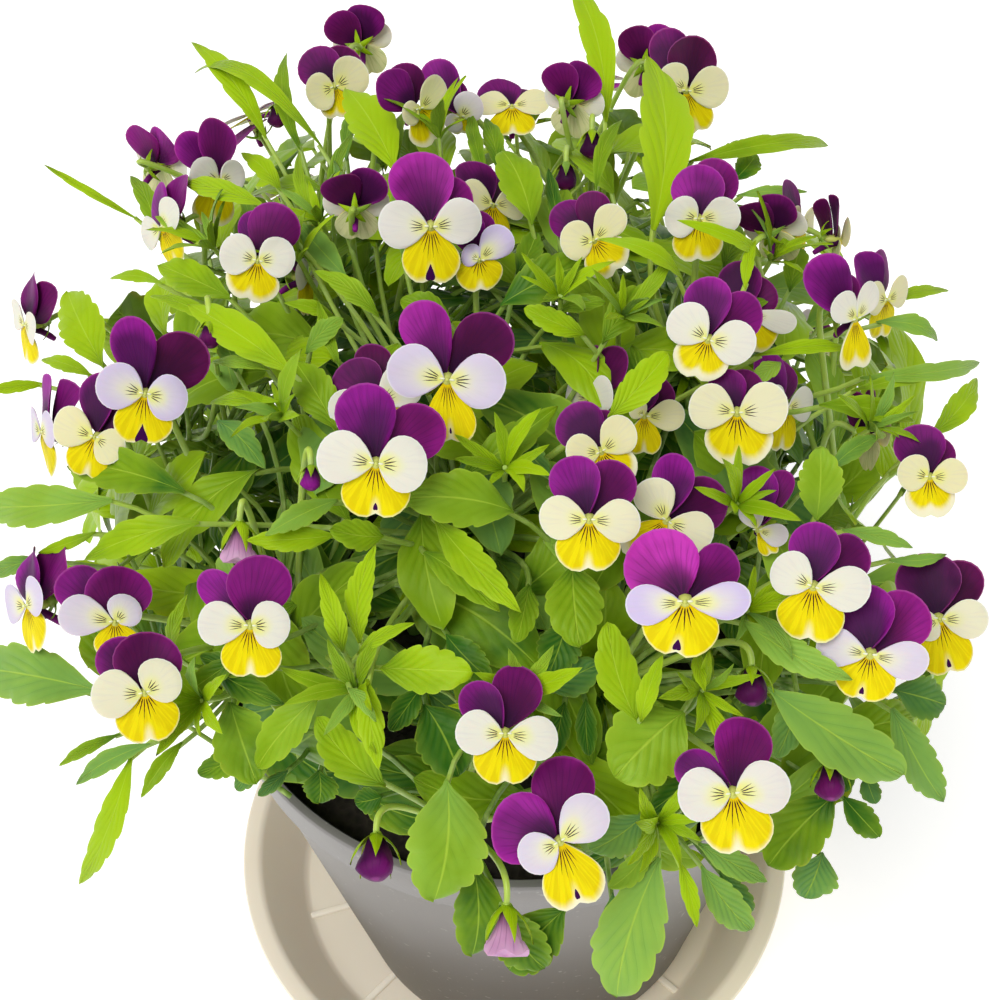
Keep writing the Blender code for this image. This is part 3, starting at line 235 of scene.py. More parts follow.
lip_inner = SAUCER_RADIUS - SAUCER_LIP
saucer_profile = [
    (SAUCER_FLOOR_RADIUS - 1.2 * MM, 0),
    (SAUCER_FLOOR_RADIUS, 0.5 * MM),
    (lip_inner - SAUCER_WALL, SAUCER_HEIGHT - SAUCER_WALL - 0.6 * MM),
    (lip_inner - SAUCER_WALL + 0.8 * MM, SAUCER_HEIGHT - SAUCER_WALL),
    (SAUCER_RADIUS - 0.6 * MM, SAUCER_HEIGHT - SAUCER_WALL - 0.2 * MM),
    (SAUCER_RADIUS, SAUCER_HEIGHT - SAUCER_WALL + 0.3 * MM),
    (SAUCER_RADIUS, SAUCER_HEIGHT - 0.5 * MM),
    (SAUCER_RADIUS - 0.5 * MM, SAUCER_HEIGHT),
    (lip_inner - 0.6 * MM, SAUCER_HEIGHT),
    (lip_inner - 2 * SAUCER_WALL + 1.6 * MM, SAUCER_HEIGHT - 0.3 * MM),
    (lip_inner - 2 * SAUCER_WALL + 0.4 * MM, SAUCER_HEIGHT - 1.4 * MM),
    (SAUCER_FLOOR_RADIUS - SAUCER_WALL + 1 * MM, SAUCER_WALL + 2 * MM),
    (SAUCER_FLOOR_RADIUS - SAUCER_WALL - 0.8 * MM, SAUCER_WALL + 0.3 * MM),
    (SAUCER_FLOOR_RADIUS - SAUCER_WALL - 2 * MM, SAUCER_WALL),
]
saucer = turned("saucer_body", saucer_profile, (0, 0, 0))
saucer.data.materials.append(cream_plastic)
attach(saucer, "root")
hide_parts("saucer")

for i in range(RIB_COUNT):
    bpy.ops.object.select_all(action="DESELECT")
    middle = (RIB_INNER_RADIUS + RIB_OUTER_RADIUS) / 2
    height = SAUCER_WALL / 2 + RIB_HEIGHT
    bpy.ops.mesh.primitive_cube_add(size=1, location=(middle, 0, SAUCER_WALL / 2 + height / 2))
    rib = bpy.context.object
    rib.name = f"saucer_rib_{i}"
    rib.scale = (RIB_OUTER_RADIUS - RIB_INNER_RADIUS, RIB_WIDTH, height)
    bpy.ops.object.transform_apply(location=True, rotation=True, scale=True)
    bpy.ops.object.mode_set(mode="EDIT")
    bpy.ops.mesh.select_all(action="SELECT")
    bpy.ops.mesh.bevel(offset=RIB_BEVEL, segments=4, affect="EDGES")
    turn = math.tau * (i + 0.5) / RIB_COUNT
    bpy.ops.transform.rotate(value=-turn, orient_axis="Z", center_override=(0, 0, 0))
    bpy.ops.object.mode_set(mode="OBJECT")
    rib.data.shade_smooth()
    rib.data.materials.append(cream_plastic)
    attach(rib, "root")
    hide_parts("saucer")


# The pot: grey moulded plastic, satin, a little dusty. It stands a little off the saucer's middle, tapers to
# its foot, and is stiffened by a deeper collar under the rolled rim
POT_AT = Vector((5, -7.5, 0)) * MM
POT_RADIUS = 90 * MM
POT_FOOT_RADIUS = 62 * MM
POT_RIM_Z = 156 * MM
POT_FOOT_Z = 3.3 * MM
POT_WALL = 1.8 * MM
POT_FLOOR = 2.4 * MM
COLLAR_STEP = 1.8 * MM
COLLAR_DRAFT = 1.6 * MM
COLLAR_HEIGHT = 17 * MM
COLLAR_Z = POT_RIM_Z - COLLAR_HEIGHT
UNDER_COLLAR_RADIUS = POT_RADIUS - COLLAR_STEP - COLLAR_DRAFT
FOOT_RING_HEIGHT = 2 * MM
FOOT_RING_WIDTH = 4 * MM
DRAIN_COUNT = 5
DRAIN_RADIUS = 5 * MM
DRAIN_CIRCLE = 36 * MM
SHADED_DEPTH = 10 * MM


def calc(operation, a, b=0.0, c=0.0):
    """A number worked out from two or three others."""
    return add("Math", a, b, c, operation=operation)


def times(a, b):
    """One number times another."""
    return calc("MULTIPLY", a, b)


def plus(a, b):
    """Two numbers added."""
    return calc("ADD", a, b)


def scaled(a, factor, rest):
    """A number times a factor, and the rest added."""
    return calc("MULTIPLY_ADD", a, factor, rest)


def relief(shader, height, depth):
    """Bumps of a depth, in metres, by a height from 0 to 1."""
    bump = shader.id_data.nodes.new("ShaderNodeBump")
    bump.inputs["Distance"].default_value = depth
    bump.id_data.links.new(height, bump.inputs["Height"])
    bump.id_data.links.new(bump.outputs[0], shader.inputs["Normal"])


grey_plastic, shader = surface("grey_plastic", 0.42)
place = on_piece(shader)
x, y, z = parts(place)
clouds = grain(place, 14, 4)
tint = mixed(clouds, (0.170, 0.160, 0.160), (0.225, 0.212, 0.205))
# Painted shade: the pot turns darker towards its foot and its right side, where the plant's shadow falls on
# it
shade_height = scaled(x, -0.35, scaled(clouds, 0.03, z))
tint = mixed(ramp(shade_height, 0.150, 0.07), tint, (0.078, 0.070, 0.063))
dust = ramp(grain(place, 420, 1), 0.70, 0.78)
paint(shader, mixed(times(dust, 0.35), tint, (0.5, 0.48, 0.45)))
relief(shader, grain(place, 900, 2), 0.05 * MM)

ring_radius = POT_FOOT_RADIUS - FOOT_RING_WIDTH
under_floor_z = POT_FOOT_Z + FOOT_RING_HEIGHT
floor_z = under_floor_z + POT_FLOOR
pot_profile = [
    (ring_radius - 1 * MM, under_floor_z),
    (ring_radius, under_floor_z - 0.3 * MM),
    (ring_radius + 0.4 * MM, POT_FOOT_Z),
    (POT_FOOT_RADIUS - 0.8 * MM, POT_FOOT_Z),
    (POT_FOOT_RADIUS, POT_FOOT_Z + 0.9 * MM),
    (UNDER_COLLAR_RADIUS - 0.1 * MM, COLLAR_Z - 0.8 * MM),
    (UNDER_COLLAR_RADIUS + 0.5 * MM, COLLAR_Z),
    (POT_RADIUS - COLLAR_DRAFT - 0.5 * MM, COLLAR_Z + 0.1 * MM),
    (POT_RADIUS - COLLAR_DRAFT, COLLAR_Z + 0.7 * MM),
    (POT_RADIUS - 0.5 * MM, POT_RIM_Z - 3 * MM),
    (POT_RADIUS, POT_RIM_Z - 2.2 * MM),
    (POT_RADIUS, POT_RIM_Z - 0.8 * MM),
    (POT_RADIUS - 0.3 * MM, POT_RIM_Z - 0.2 * MM),
    (POT_RADIUS - 0.9 * MM, POT_RIM_Z),
    (POT_RADIUS - POT_WALL - 0.6 * MM, POT_RIM_Z),
    (POT_RADIUS - POT_WALL - 1.1 * MM, POT_RIM_Z - 0.5 * MM),
    (UNDER_COLLAR_RADIUS - POT_WALL, COLLAR_Z - COLLAR_STEP),
    (POT_FOOT_RADIUS - POT_WALL, floor_z + 0.5 * MM),
    (POT_FOOT_RADIUS - POT_WALL - 0.8 * MM, floor_z),
]
pot = turned("pot_body", pot_profile, POT_AT)
pot.data.materials.append(grey_plastic)
for i in range(DRAIN_COUNT):
    turn = math.tau * i / DRAIN_COUNT
    bpy.ops.object.select_all(action="DESELECT")
    across = Vector((math.cos(turn), math.sin(turn), 0)) * DRAIN_CIRCLE
    bpy.ops.mesh.primitive_cylinder_add(
        vertices=32, radius=DRAIN_RADIUS, depth=20 * MM, location=POT_AT + across
    )
    cutter = bpy.context.object
    bpy.context.view_layer.objects.active = pot
    cut = pot.modifiers.new("drain", "BOOLEAN")
    cut.object = cutter
    cut.operation = "DIFFERENCE"
    cut.solver = "EXACT"
    bpy.ops.object.modifier_apply(modifier=cut.name)
    bpy.data.objects.remove(cutter)

# The inside of the pot near its rim, down to this far under the collar: painted shade, near black, for the
# shadow in the pot's mouth
shaded_plastic, shader = surface("shaded_plastic", 0.3)
shader.inputs["Base Color"].default_value = (0.022, 0.021, 0.024, 1)
pot.data.materials.append(shaded_plastic)
for face in pot.data.polygons:
    across = face.center - POT_AT
    inward = -face.normal.dot(Vector((across.x, across.y, 0)).normalized())
    if inward > 0.5 and across.z > COLLAR_Z - SHADED_DEPTH:
        face.material_index = 1
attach(pot, "root")
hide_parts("pot")


# The soil: dark potting soil pressed into the pot, with loose crumbs on its top
SOIL_Z = 142 * MM
SOIL_SLOPE = 4 * MM
FIT_GAP = 0.3 * MM
SEED = 7
rng = random.Random(SEED)

dark_soil, shader = surface("dark_soil", 0.95)
lumps = add("TexVoronoi", on_piece(shader), None, 380)
paint(shader, mixed(lumps, (0.010, 0.008, 0.006), (0.040, 0.030, 0.022)))
relief(shader, lumps, 1.2 * MM)


def soil_radius(z):
    """The pot's inner radius at a height, less the gap that keeps the soil clear of its wall."""
    share = (z - floor_z) / (COLLAR_Z - COLLAR_STEP - floor_z)
    low, high = POT_FOOT_RADIUS - POT_WALL, UNDER_COLLAR_RADIUS - POT_WALL
    return low + min(share, 1) * (high - low) - FIT_GAP


edge_radius = soil_radius(SOIL_Z - SOIL_SLOPE)
soil_profile = [
    (soil_radius(floor_z + FIT_GAP), floor_z + FIT_GAP),
    (edge_radius, SOIL_Z - SOIL_SLOPE),
]
soil_profile += [(edge_radius * (1 - 0.06 * i), SOIL_Z - SOIL_SLOPE * math.exp(-i)) for i in range(1, 16)]
soil = turned("soil_body", soil_profile, POT_AT)
for vertex in soil.data.vertices:
    if vertex.co.z > SOIL_Z - 0.9 * SOIL_SLOPE:
        vertex.co.z += rng.uniform(-1, 1) * MM
soil.data.materials.append(dark_soil)
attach(soil, "root")
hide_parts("soil")


# The plant's green stems: eight of them rise from the soil, a ring and one in the middle. Each branches into
# ridged, arching shoots, and the places along a shoot are where stalks and leaves grow from
DOME_AT = Vector((3, 0, 155)) * MM
DOME_RADII = Vector((140, 150, 150)) * MM
DOME_POWER = 2.6
STEM_BEARINGS = (-90, -38, 14, 66, 114, 166, 218)
STEM_CIRCLE = 34 * MM
MIDDLE_STEM = Vector((0, 6, 0)) * MM
STEM_RADIUS = 2.4 * MM
STEM_RISE = 14 * MM
SIDE_SHOOTS = ((-16, 1), (15, 8), (-9, 24), (12, 40))
TOP_SHOOTS = ((-100, 58), (-20, 66), (60, 60), (150, 64))
SHOOT_REACH = 0.74
SHOOT_START = 3 * MM
SHOOT_SPACING = 2.5 * MM
SHOOT_LEAN = 0.35
SHOOT_ARCH = 0.48
SHOOT_RADIUS = 1.3 * MM
SHOOT_POINTS = 18
SHOOT_ALWAYS = 8
FIRST_LEAF_POINT = 6
SOFT_EDGE = math.radians(60)


def value_of(shader, name):
    """A named value that a mesh carries at its points."""
    made = shader.id_data.nodes.new("ShaderNodeAttribute")
    made.attribute_name = name
    return made.outputs["Fac"]


stem_green, shader = surface("stem_green", 0.42)
tint = mixed(value_of(shader, "tone"), (0.12, 0.24, 0.03), (0.46, 0.63, 0.08))
tint = mixed(ramp(grain(on_piece(shader), 260), 0.45, 0.75), tint, (0.40, 0.55, 0.14))
paint(shader, tint)
shader.inputs["Subsurface Weight"].default_value = 0.1
shader.inputs["Subsurface Scale"].default_value = 1 * MM


class Skin:
    """The points and faces of a mesh as they gather, with each face's material, the place of its corners on
    the material, and named values at its points."""

    def __init__(self, *values):
        self.points, self.faces, self.places, self.slots = [], [], [], []
        self.values = {name: [] for name in values}

    def cover(self, grid, places, slot, **values):
        """Adds a grid of points in rows and columns, facing the way that columns cross rows."""
        rows, columns = grid.shape[:2]
        first = sum(len(points) for points in self.points)
        self.points.append(grid.reshape(-1, 3))
        spots = first + np.arange(rows * columns).reshape(rows, columns)
        faces = np.stack([spots[:-1, :-1], spots[:-1, 1:], spots[1:, 1:], spots[1:, :-1]], axis=-1)
        self.faces.append(faces.reshape(-1, 4))
        self.places.append(places.reshape(-1, 2)[faces.reshape(-1) - first])
        self.slots += [slot] * (len(faces) * len(faces[0]))
        for name in self.values:
            value = np.broadcast_to(values.get(name, 0.0), (rows, columns))
            self.values[name].append(value.reshape(-1))

    def piece(self, name, materials):
        """The mesh object, its touching points joined."""
        mesh = bpy.data.meshes.new(name)
        mesh.from_pydata(np.concatenate(self.points).tolist(), [], np.concatenate(self.faces).tolist())
        layer = mesh.uv_layers.new(name="places")
        layer.data.foreach_set("uv", np.concatenate(self.places).astype(np.float32).reshape(-1))
        mesh.polygons.foreach_set("material_index", np.array(self.slots, np.int32))
        for value, parts in self.values.items():
            spots = mesh.attributes.new(value, "FLOAT", "POINT")
            spots.data.foreach_set("value", np.concatenate(parts).astype(np.float32))
        for material in materials:
            mesh.materials.append(material)
        piece = bpy.data.objects.new(name, mesh)
        scene.collection.objects.link(piece)
        bpy.ops.object.select_all(action="DESELECT")
        bpy.context.view_layer.objects.active = piece
        piece.select_set(True)
        bpy.ops.object.mode_set(mode="EDIT")
        bpy.ops.mesh.select_all(action="SELECT")
        bpy.ops.mesh.remove_doubles(threshold=0.002 * MM)
        bpy.ops.mesh.dissolve_degenerate(threshold=0.001 * MM)
        bpy.ops.object.mode_set(mode="OBJECT")
        piece.data.shade_smooth()
        piece.data.set_sharp_from_angle(angle=SOFT_EDGE)
        return piece


def in_picture(point):
    """The pixel at which a point shows in the photograph."""
    offset = point - EYE
    depth = -offset.dot(BACK)
    return (
        VIEW_MIDDLE + VIEW_FOCAL * offset.dot(RIGHT) / depth,
        VIEW_MIDDLE - VIEW_FOCAL * offset.dot(UP) / depth,
    )


# The lower edge of the foliage in the photograph: pixels from the left, and from the top
LOWER_EDGE = (
    (0, 200, 260, 400, 450, 640, 760, 880, 1000),
    (690, 720, 760, 815, 850, 880, 850, 780, 680),
)


def shows_pot(*ends):
    """Whether something with these ends would hang in front of the pot, below the foliage's edge."""
    return any(y > np.interp(x, *LOWER_EDGE) for x, y in map(in_picture, ends))


def direction_at(bearing, height):
    """The direction at a bearing round the pot and a height angle, both in degrees."""
    bearing, height = math.radians(bearing), math.radians(height)
    flat = Vector((math.cos(bearing), math.sin(bearing), 0))
    return math.cos(height) * flat + math.sin(height) * Vector((0, 0, 1))


def dome_point(direction, reach=1.0):
    """The point that far out to the plant's dome in a direction."""
    size = sum(abs(direction[i] / DOME_RADII[i]) ** DOME_POWER for i in range(3))
    return DOME_AT + reach * direction / size ** (1 / DOME_POWER)


def curve(corners, count):
    """Points along a smooth curve that leaves its first corner towards the second and reaches its last from
    the one before."""
    shares = np.linspace(0, 1, count + 1)[:, None]
    points = [np.array(corner)[None, :] for corner in corners]
    while len(points) > 1:
        points = [(1 - shares) * a + shares * b for a, b in zip(points, points[1:])]
    return points[0]


def tube(skin, path, radii, sides=7, **values):
    """Adds a tube along a path, its ends closed to a point."""
    path = np.concatenate([path[:1], path, path[-1:]])
    radii = np.concatenate([[0], np.broadcast_to(radii, len(path) - 2), [0]])
    ahead = np.gradient(path, axis=0)
    ahead[0], ahead[-1] = ahead[1], ahead[-2]
    ahead /= np.linalg.norm(ahead, axis=1)[:, None] + 1e-12
    way = path[-1] - path[0]
    reference = np.array((1.0, 0.3, 0)) if abs(way[2]) > 0.8 * np.linalg.norm(way) else np.array((0, 0, 1.0))
    across = np.cross(ahead, reference)
    across /= np.linalg.norm(across, axis=1)[:, None]
    above = np.cross(across, ahead)
    turns = np.linspace(0, math.tau, sides + 1)[None, :, None]
    grid = across[:, None] * np.cos(turns) + above[:, None] * np.sin(turns)
    grid = path[:, None] + grid * radii[:, None, None]
    grid[:, -1] = grid[:, 0]
    along, round_it = np.mgrid[0 : 1 : len(path) * 1j, 0 : 1 : (sides + 1) * 1j]
    skin.cover(grid[:, ::-1], np.stack([round_it, along], axis=-1), 0, **values)


feet = [POT_AT + STEM_CIRCLE * direction_at(bearing, 0) for bearing in STEM_BEARINGS]
feet.append(POT_AT + MIDDLE_STEM)
stems = [Skin("tone") for foot in feet]
for skin, foot in zip(stems, feet):
    low, high = Vector((0, 0, SOIL_Z - 6 * MM)), Vector((0, 0, SOIL_Z + STEM_RISE))
    tube(skin, curve([foot + low, foot + high], 4), STEM_RADIUS * np.array((1.1, 1, 1, 0.9, 0.7)), sides=9)

shoots = []
for stem, bearing in enumerate(STEM_BEARINGS):
    shoots += [(stem, direction_at(bearing + off, height)) for off, height in SIDE_SHOOTS]
shoots += [(len(STEM_BEARINGS), direction_at(bearing, height)) for bearing, height in TOP_SHOOTS]
nodes = []
shoot_paths = []
for number, (stem, direction) in enumerate(shoots):
    start = feet[stem] + Vector((0, 0, SOIL_Z + SHOOT_START + SHOOT_SPACING * (number % 4)))
    run = dome_point(direction, SHOOT_REACH) - start
    rise = Vector((0, 0, SHOOT_ARCH * run.length * (1 - 0.5 * direction.z)))
    path = curve([start, start + SHOOT_LEAN * run + rise, start + run], SHOOT_POINTS)
    clear = sum(i < SHOOT_ALWAYS or not shows_pot(Vector(point)) for i, point in enumerate(path))
    radii = SHOOT_RADIUS * np.linspace(1.15, 0.6, SHOOT_POINTS + 1)
    tube(stems[stem], path[:clear], radii[:clear], tone=np.linspace(0, 0.6, clear + 2)[:, None])
    shoot_paths.append((stem, path))
    nodes += [(stem, Vector(point)) for point in path[FIRST_LEAF_POINT:]]


# The leaves: soft toothed blades, broad or lance-shaped, folded a little along a pale midrib and dimpled by
# their side veins. Each grows on its own stalk from a shoot, with a few narrow stipules at its root
HEART_DEPTH = 40 * MM
VIEW_NEAREST = 0.26
VIEW_STEP = 1 * MM
VIEW_STEPS = 260
LEAF_THICKNESS = 0.45 * MM
LEAF_OUTLINE = (
    (0, 0.05, 0.12, 0.22, 0.34, 0.46, 0.58, 0.7, 0.8, 0.89, 0.95, 0.985, 1),
    (0.05, 0.14, 0.38, 0.66, 0.89, 1, 0.99, 0.89, 0.74, 0.54, 0.36, 0.2, 0),
)
LANCE_OUTLINE = (
    (0, 0.06, 0.16, 0.28, 0.42, 0.56, 0.68, 0.79, 0.88, 0.95, 1),
    (0.10, 0.24, 0.55, 0.83, 1, 0.96, 0.82, 0.62, 0.40, 0.19, 0),
)
LANCE_SHARE = 3.0
LARGE_LEAF = 24
SIDE_VEINS = 6
TOOTH_DEPTH = 0.14
TOOTH_LEAN = 0.022
RUFFLE = 0.07
DIMPLE = 0.004
LEAF_SEAT = 6 * MM
LEAF_NEAREST = 60
LEAF_LEAN = 0.2
LEAF_SLANT = 1.0
PETIOLE_RADIUS = 0.75 * MM
PETIOLE_POINTS = 8
STIPULE_COUNT = 3

# The leaves that show in the photograph, read there in pixels: where the blade starts and ends, how
# wide it is, then how many millimetres its base and its tip stand off the plant's dome, and its arch
Leaf = namedtuple("Leaf", "base tip wide base_lift tip_lift arch", defaults=(-14, -5, 0.06))
LEAVES = (
    ((266, 138), (191, 42), 24), ((322, 147), (195, 73), 18, -14, -5, 0.16),
    ((300, 150), (287, 53), 17, -18, -12), ((395, 169), (346, 89), 46, -14, 2), ((139, 220), (43, 164), 9),
    ((262, 204), (184, 182), 24, 8, 14), ((230, 297), (158, 265), 36), ((163, 284), (110, 279), 13),
    ((293, 373), (188, 304), 38, -8, -3), ((104, 367), (68, 292), 46, -16), ((92, 376), (41, 360), 16),
    ((44, 384), (-14, 392), 14), ((336, 430), (295, 362), 40, -16, -10), ((210, 403), (280, 402), 15),
    ((212, 362), (271, 370), 13, -18), ((217, 421), (265, 469), 30, -16, -12), ((379, 317), (314, 271), 22),
    ((306, 354), (344, 319), 23), ((335, 317), (284, 303), 15), ((452, 322), (400, 300), 32, -20, -14),
    ((346, 277), (297, 223), 28, -18, -12), ((281, 191), (241, 153), 20, -18),
    ((185, 492), (67, 466), 44, -18, -12), ((606, 122), (566, -24), 31, -14, 4),
    ((653, 230), (646, 56), 52, -16, 8), ((688, 162), (828, 146), 22, -14, -5, 0.14),
    ((716, 158), (748, 140), 14, -20, -16), ((734, 180), (756, 154), 25, -22, -16),
    ((736, 196), (808, 192), 13, -18, -5, 0.04), ((532, 225), (502, 151), 42, -14, -6),
    ((500, 306), (594, 262), 46, -18, -10), ((586, 335), (524, 308), 26, -12),
    ((557, 311), (606, 303), 19, -20, -12), ((602, 344), (655, 285), 34, -16, -8),
    ((683, 281), (597, 239), 18, -4, 12, 0.18), ((761, 257), (677, 220), 17, -4, 12, 0.18),
    ((745, 289), (756, 240), 13, -4, 4), ((608, 418), (668, 353), 35, 0, 5),
    ((755, 356), (854, 351), 15, -8, -5, 0.12), ((781, 363), (749, 385), 19, -6, 2),
    ((860, 378), (980, 362), 20, -14, -5, 0.1), ((851, 391), (958, 364), 17),
    ((819, 405), (915, 422), 25, -10), ((930, 436), (977, 378), 27), ((883, 303), (949, 291), 13, -18),
    ((876, 322), (937, 341), 21, -16, -5, 0.3), ((816, 520), (820, 446), 45, -14, -4),
    ((458, 480), (558, 406), 36, -16, -9), ((500, 434), (554, 482), 27, -18, -12),
    ((112, 500), (-24, 506), 44, -12), ((96, 532), (38, 553), 13, -18), ((199, 522), (84, 560), 36, -12),
    ((98, 690), (-28, 668), 60, -16, -10), ((42, 560), (-12, 578), 19, -20, -12),
    ((120, 734), (59, 766), 13, -16), ((150, 744), (76, 785), 21), ((132, 755), (80, 884), 29, -14, 2),
    ((182, 742), (141, 798), 18, -18), ((230, 702), (257, 784), 60, -14), ((320, 695), (257, 768), 40, -8),
    ((343, 653), (320, 573), 23, -8, 4), ((360, 643), (376, 545), 28, -10, 4),
    ((380, 668), (473, 672), 48, -8, -2), ((357, 655), (415, 623), 15, -8, 2),
    ((367, 679), (379, 770), 27, -6, 2), ((348, 688), (376, 722), 15, -4, 4),
    ((386, 786), (317, 716), 42, -12, -8), ((447, 780), (434, 900), 80, -8, -4),
    ((473, 862), (472, 955), 50, -16, -14), ((214, 668), (285, 704), 29, -18, -12),
    ((335, 535), (246, 540), 26, -12), ((338, 500), (265, 536), 25, -10, -2),
    ((384, 536), (330, 529), 32, -12, -4), ((424, 552), (500, 612), 34, -14),
    ((436, 520), (521, 612), 36, -12, 0), ((514, 512), (407, 499), 57, -10, -3),
    ((424, 704), (459, 776), 60, -18, -16), ((421, 688), (390, 731), 27, -18, -12),
    ((446, 634), (491, 680), 34, -20, -16), ((172, 655), (188, 594), 15, -12, 0),
    ((319, 770), (319, 803), 36, -26, -26), ((383, 796), (355, 802), 27, -26, -26),
    ((288, 770), (258, 796), 15, -20, -14), ((573, 564), (580, 647), 58, -12, -6),
    ((566, 624), (549, 673), 45, -20, -16), ((529, 584), (516, 643), 29, -16, -10),
    ((638, 722), (608, 622), 42, -6, -4), ((641, 722), (663, 655), 21, -4, 2),
    ((684, 712), (615, 778), 84, -8, -4), ((586, 698), (589, 756), 22, -20, -18),
    ((552, 692), (600, 664), 40, -22, -18), ((565, 702), (557, 753), 24, -20, -16),
    ((768, 688), (904, 775), 62, -6, 2), ((745, 622), (853, 680), 34, -8, 10),
    ((892, 708), (944, 802), 42, -12), ((893, 690), (945, 705), 44, -16, -12),
    ((866, 776), (876, 804), 22, -22, -16), ((842, 796), (879, 837), 29, -16, -10),
    ((835, 795), (768, 866), 60, -12, -12), ((822, 852), (804, 898), 46, -20, -18),
    ((660, 858), (617, 997), 70, -6, 0), ((701, 866), (751, 930), 35, -10),
    ((720, 872), (752, 912), 28, -20, -16), ((698, 844), (767, 882), 27, -8, -4),
    ((651, 843), (609, 888), 25, -8, -6), ((644, 814), (590, 850), 41, -10, -12),
    ((566, 908), (509, 970), 56, -16, -12), ((612, 893), (612, 947), 25, -18, -16),
    ((679, 860), (697, 928), 17, -6, 2), ((698, 652), (705, 692), 15, -8, 0),
    ((842, 530), (913, 548), 17, -12, -5, 0.14), ((889, 560), (947, 554), 13, -12),
    ((322, 236), (300, 150), 13, -14, -8), ((348, 240), (334, 160), 13, -16, -10),
    ((310, 262), (276, 196), 15, -14, -8), ((332, 216), (354, 132), 13, -18, -12),
    ((262, 262), (238, 176), 13, -18, -12), ((404, 262), (392, 186), 14, -18, -14),
    ((232, 330), (150, 296), 15, -14, -8), ((240, 656), (176, 700), 26, -14, -10),
    ((262, 668), (200, 656), 24, -16, -12), ((340, 366), (318, 300), 14, -14, -8),
    ((486, 180), (470, 110), 15, -18, -12), ((596, 190), (622, 120), 16, -18, -14),
    ((560, 240), (548, 168), 15, -20, -14), ((716, 330), (770, 300), 20, -18, -12),
    ((830, 470), (880, 436), 20, -14, -8), ((700, 700), (704, 640), 22, -16, -12),
    ((500, 905), (545, 968), 50, -12, -8), ((800, 690), (776, 758), 34, -14, -12),
    ((838, 722), (846, 792), 34, -20, -14), ((706, 770), (650, 812), 34, -16, -12),
    ((262, 742), (198, 774), 28, -14, -10), ((272, 752), (236, 790), 26, -16, -12),
    ((516, 274), (536, 232), 26, -22, -18), ((498, 170), (486, 118), 20, -22, -18),
    ((398, 160), (404, 112), 14, -20, -16), ((346, 160), (352, 108), 14, -22, -18),
    ((660, 196), (668, 132), 22, -24, -20), ((790, 292), (800, 248), 26, -22, -18),
    ((724, 268), (738, 224), 24, -24, -20), ((160, 240), (130, 176), 20, -18, -14),
    ((70, 690), (24, 632), 16, -20, -16), ((236, 372), (222, 338), 24, -20, -16),
)


def on_sheet(shader):
    """How far across and along its leaf or petal a place lies, each from 0 to 1."""
    return parts(shader.id_data.nodes.new("ShaderNodeUVMap").outputs[0])[:2]


def leaf_look(name, dark, bright, under):
    """A leaf's surface, by how light its green is, partly painted shade, and by its painted bluish sheen,
    with pale veins and a pale rim, and painted shade and light along its side veins.
    """
    material, shader = surface(name, 0.38)
    place = on_piece(shader)
    across, along = on_sheet(shader)
    across = calc("ABSOLUTE", scaled(across, 2, -1))
    clouds = grain(place, 70, 4)
    shade = plus(value_of(shader, "tone"), scaled(clouds, 0.9, -0.45))
    shade = plus(shade, ramp(along, 0.0, 0.45, -0.22, 0))
    tint = mixed(ramp(shade, 0.0, 0.45), dark, tuple((d + b) / 2 for d, b in zip(dark, bright)))
    tint = mixed(ramp(shade, 0.4, 1.0), tint, bright)
    # Painted sheen: bluish patches, by noise and each leaf's cool value, standing for the sky's reflection on
    # the glossy leaves
    blue_sheen = ramp(scaled(clouds, 0.4, value_of(shader, "cool")), 0.88, 1.2)
    tint = mixed(times(blue_sheen, 0.55), tint, (0.145, 0.330, 0.105))

    slant = times(across, scaled(across, 0.10, -0.55))
    slant = plus(along, scaled(clouds, 0.10, slant))
    wave = calc("PINGPONG", times(slant, SIDE_VEINS), 0.5)
    patches = ramp(grain(place, 55, 3), 0.38, 0.62, 0.15, 1)
    # Painted shade in the sunken side veins, and painted light on the bulges between them
    sunk_shade = times(ramp(wave, 0.0, 0.06, 1, 0), ramp(across, 0.55, 0.95, 1, 0))
    raised_light = times(ramp(wave, 0.08, 0.40), ramp(across, 0.1, 0.9, 1, 0.2))
    tint = mixed(times(times(sunk_shade, patches), 0.24), tint, dark)
    tint = mixed(times(times(raised_light, patches), 0.12), tint, (0.42, 0.60, 0.05))
    midrib = ramp(across, 0.010, 0.055, 1, 0)
    rim = scaled(ramp(across, 0.45, 1), 0.35, ramp(across, 0.92, 1, 0, 0.5))
    pale = times(calc("MAXIMUM", midrib, rim), 0.6 if under else 0.42)
    paint(shader, mixed(pale, tint, (0.46, 0.64, 0.06)))
    quilt = times(calc("SUBTRACT", ramp(wave, 0.0, 0.4), midrib), patches)
    relief(shader, scaled(grain(place, 420, 4), 0.8, quilt), 0.11 * MM)
    shader.inputs["IOR"].default_value = 1.3
    shader.inputs["Specular IOR Level"].default_value = 0.4
    shader.inputs["Specular Tint"].default_value = (0.8, 1, 0.5, 1)
    shader.inputs["Subsurface Weight"].default_value = 0.08
    shader.inputs["Subsurface Scale"].default_value = 1 * MM
    return material


leaf_top = leaf_look("leaf_top", (0.026, 0.115, 0.008), (0.32, 0.50, 0.003), False)
leaf_under = leaf_look("leaf_under", (0.07, 0.19, 0.035), (0.36, 0.53, 0.04), True)


def picture_ray(pixel):
    """The direction through a pixel, as long as it takes to go one metre deeper."""
    across = (pixel[0] - VIEW_MIDDLE) / VIEW_FOCAL
    above = (VIEW_MIDDLE - pixel[1]) / VIEW_FOCAL
    return -BACK + across * RIGHT + above * UP


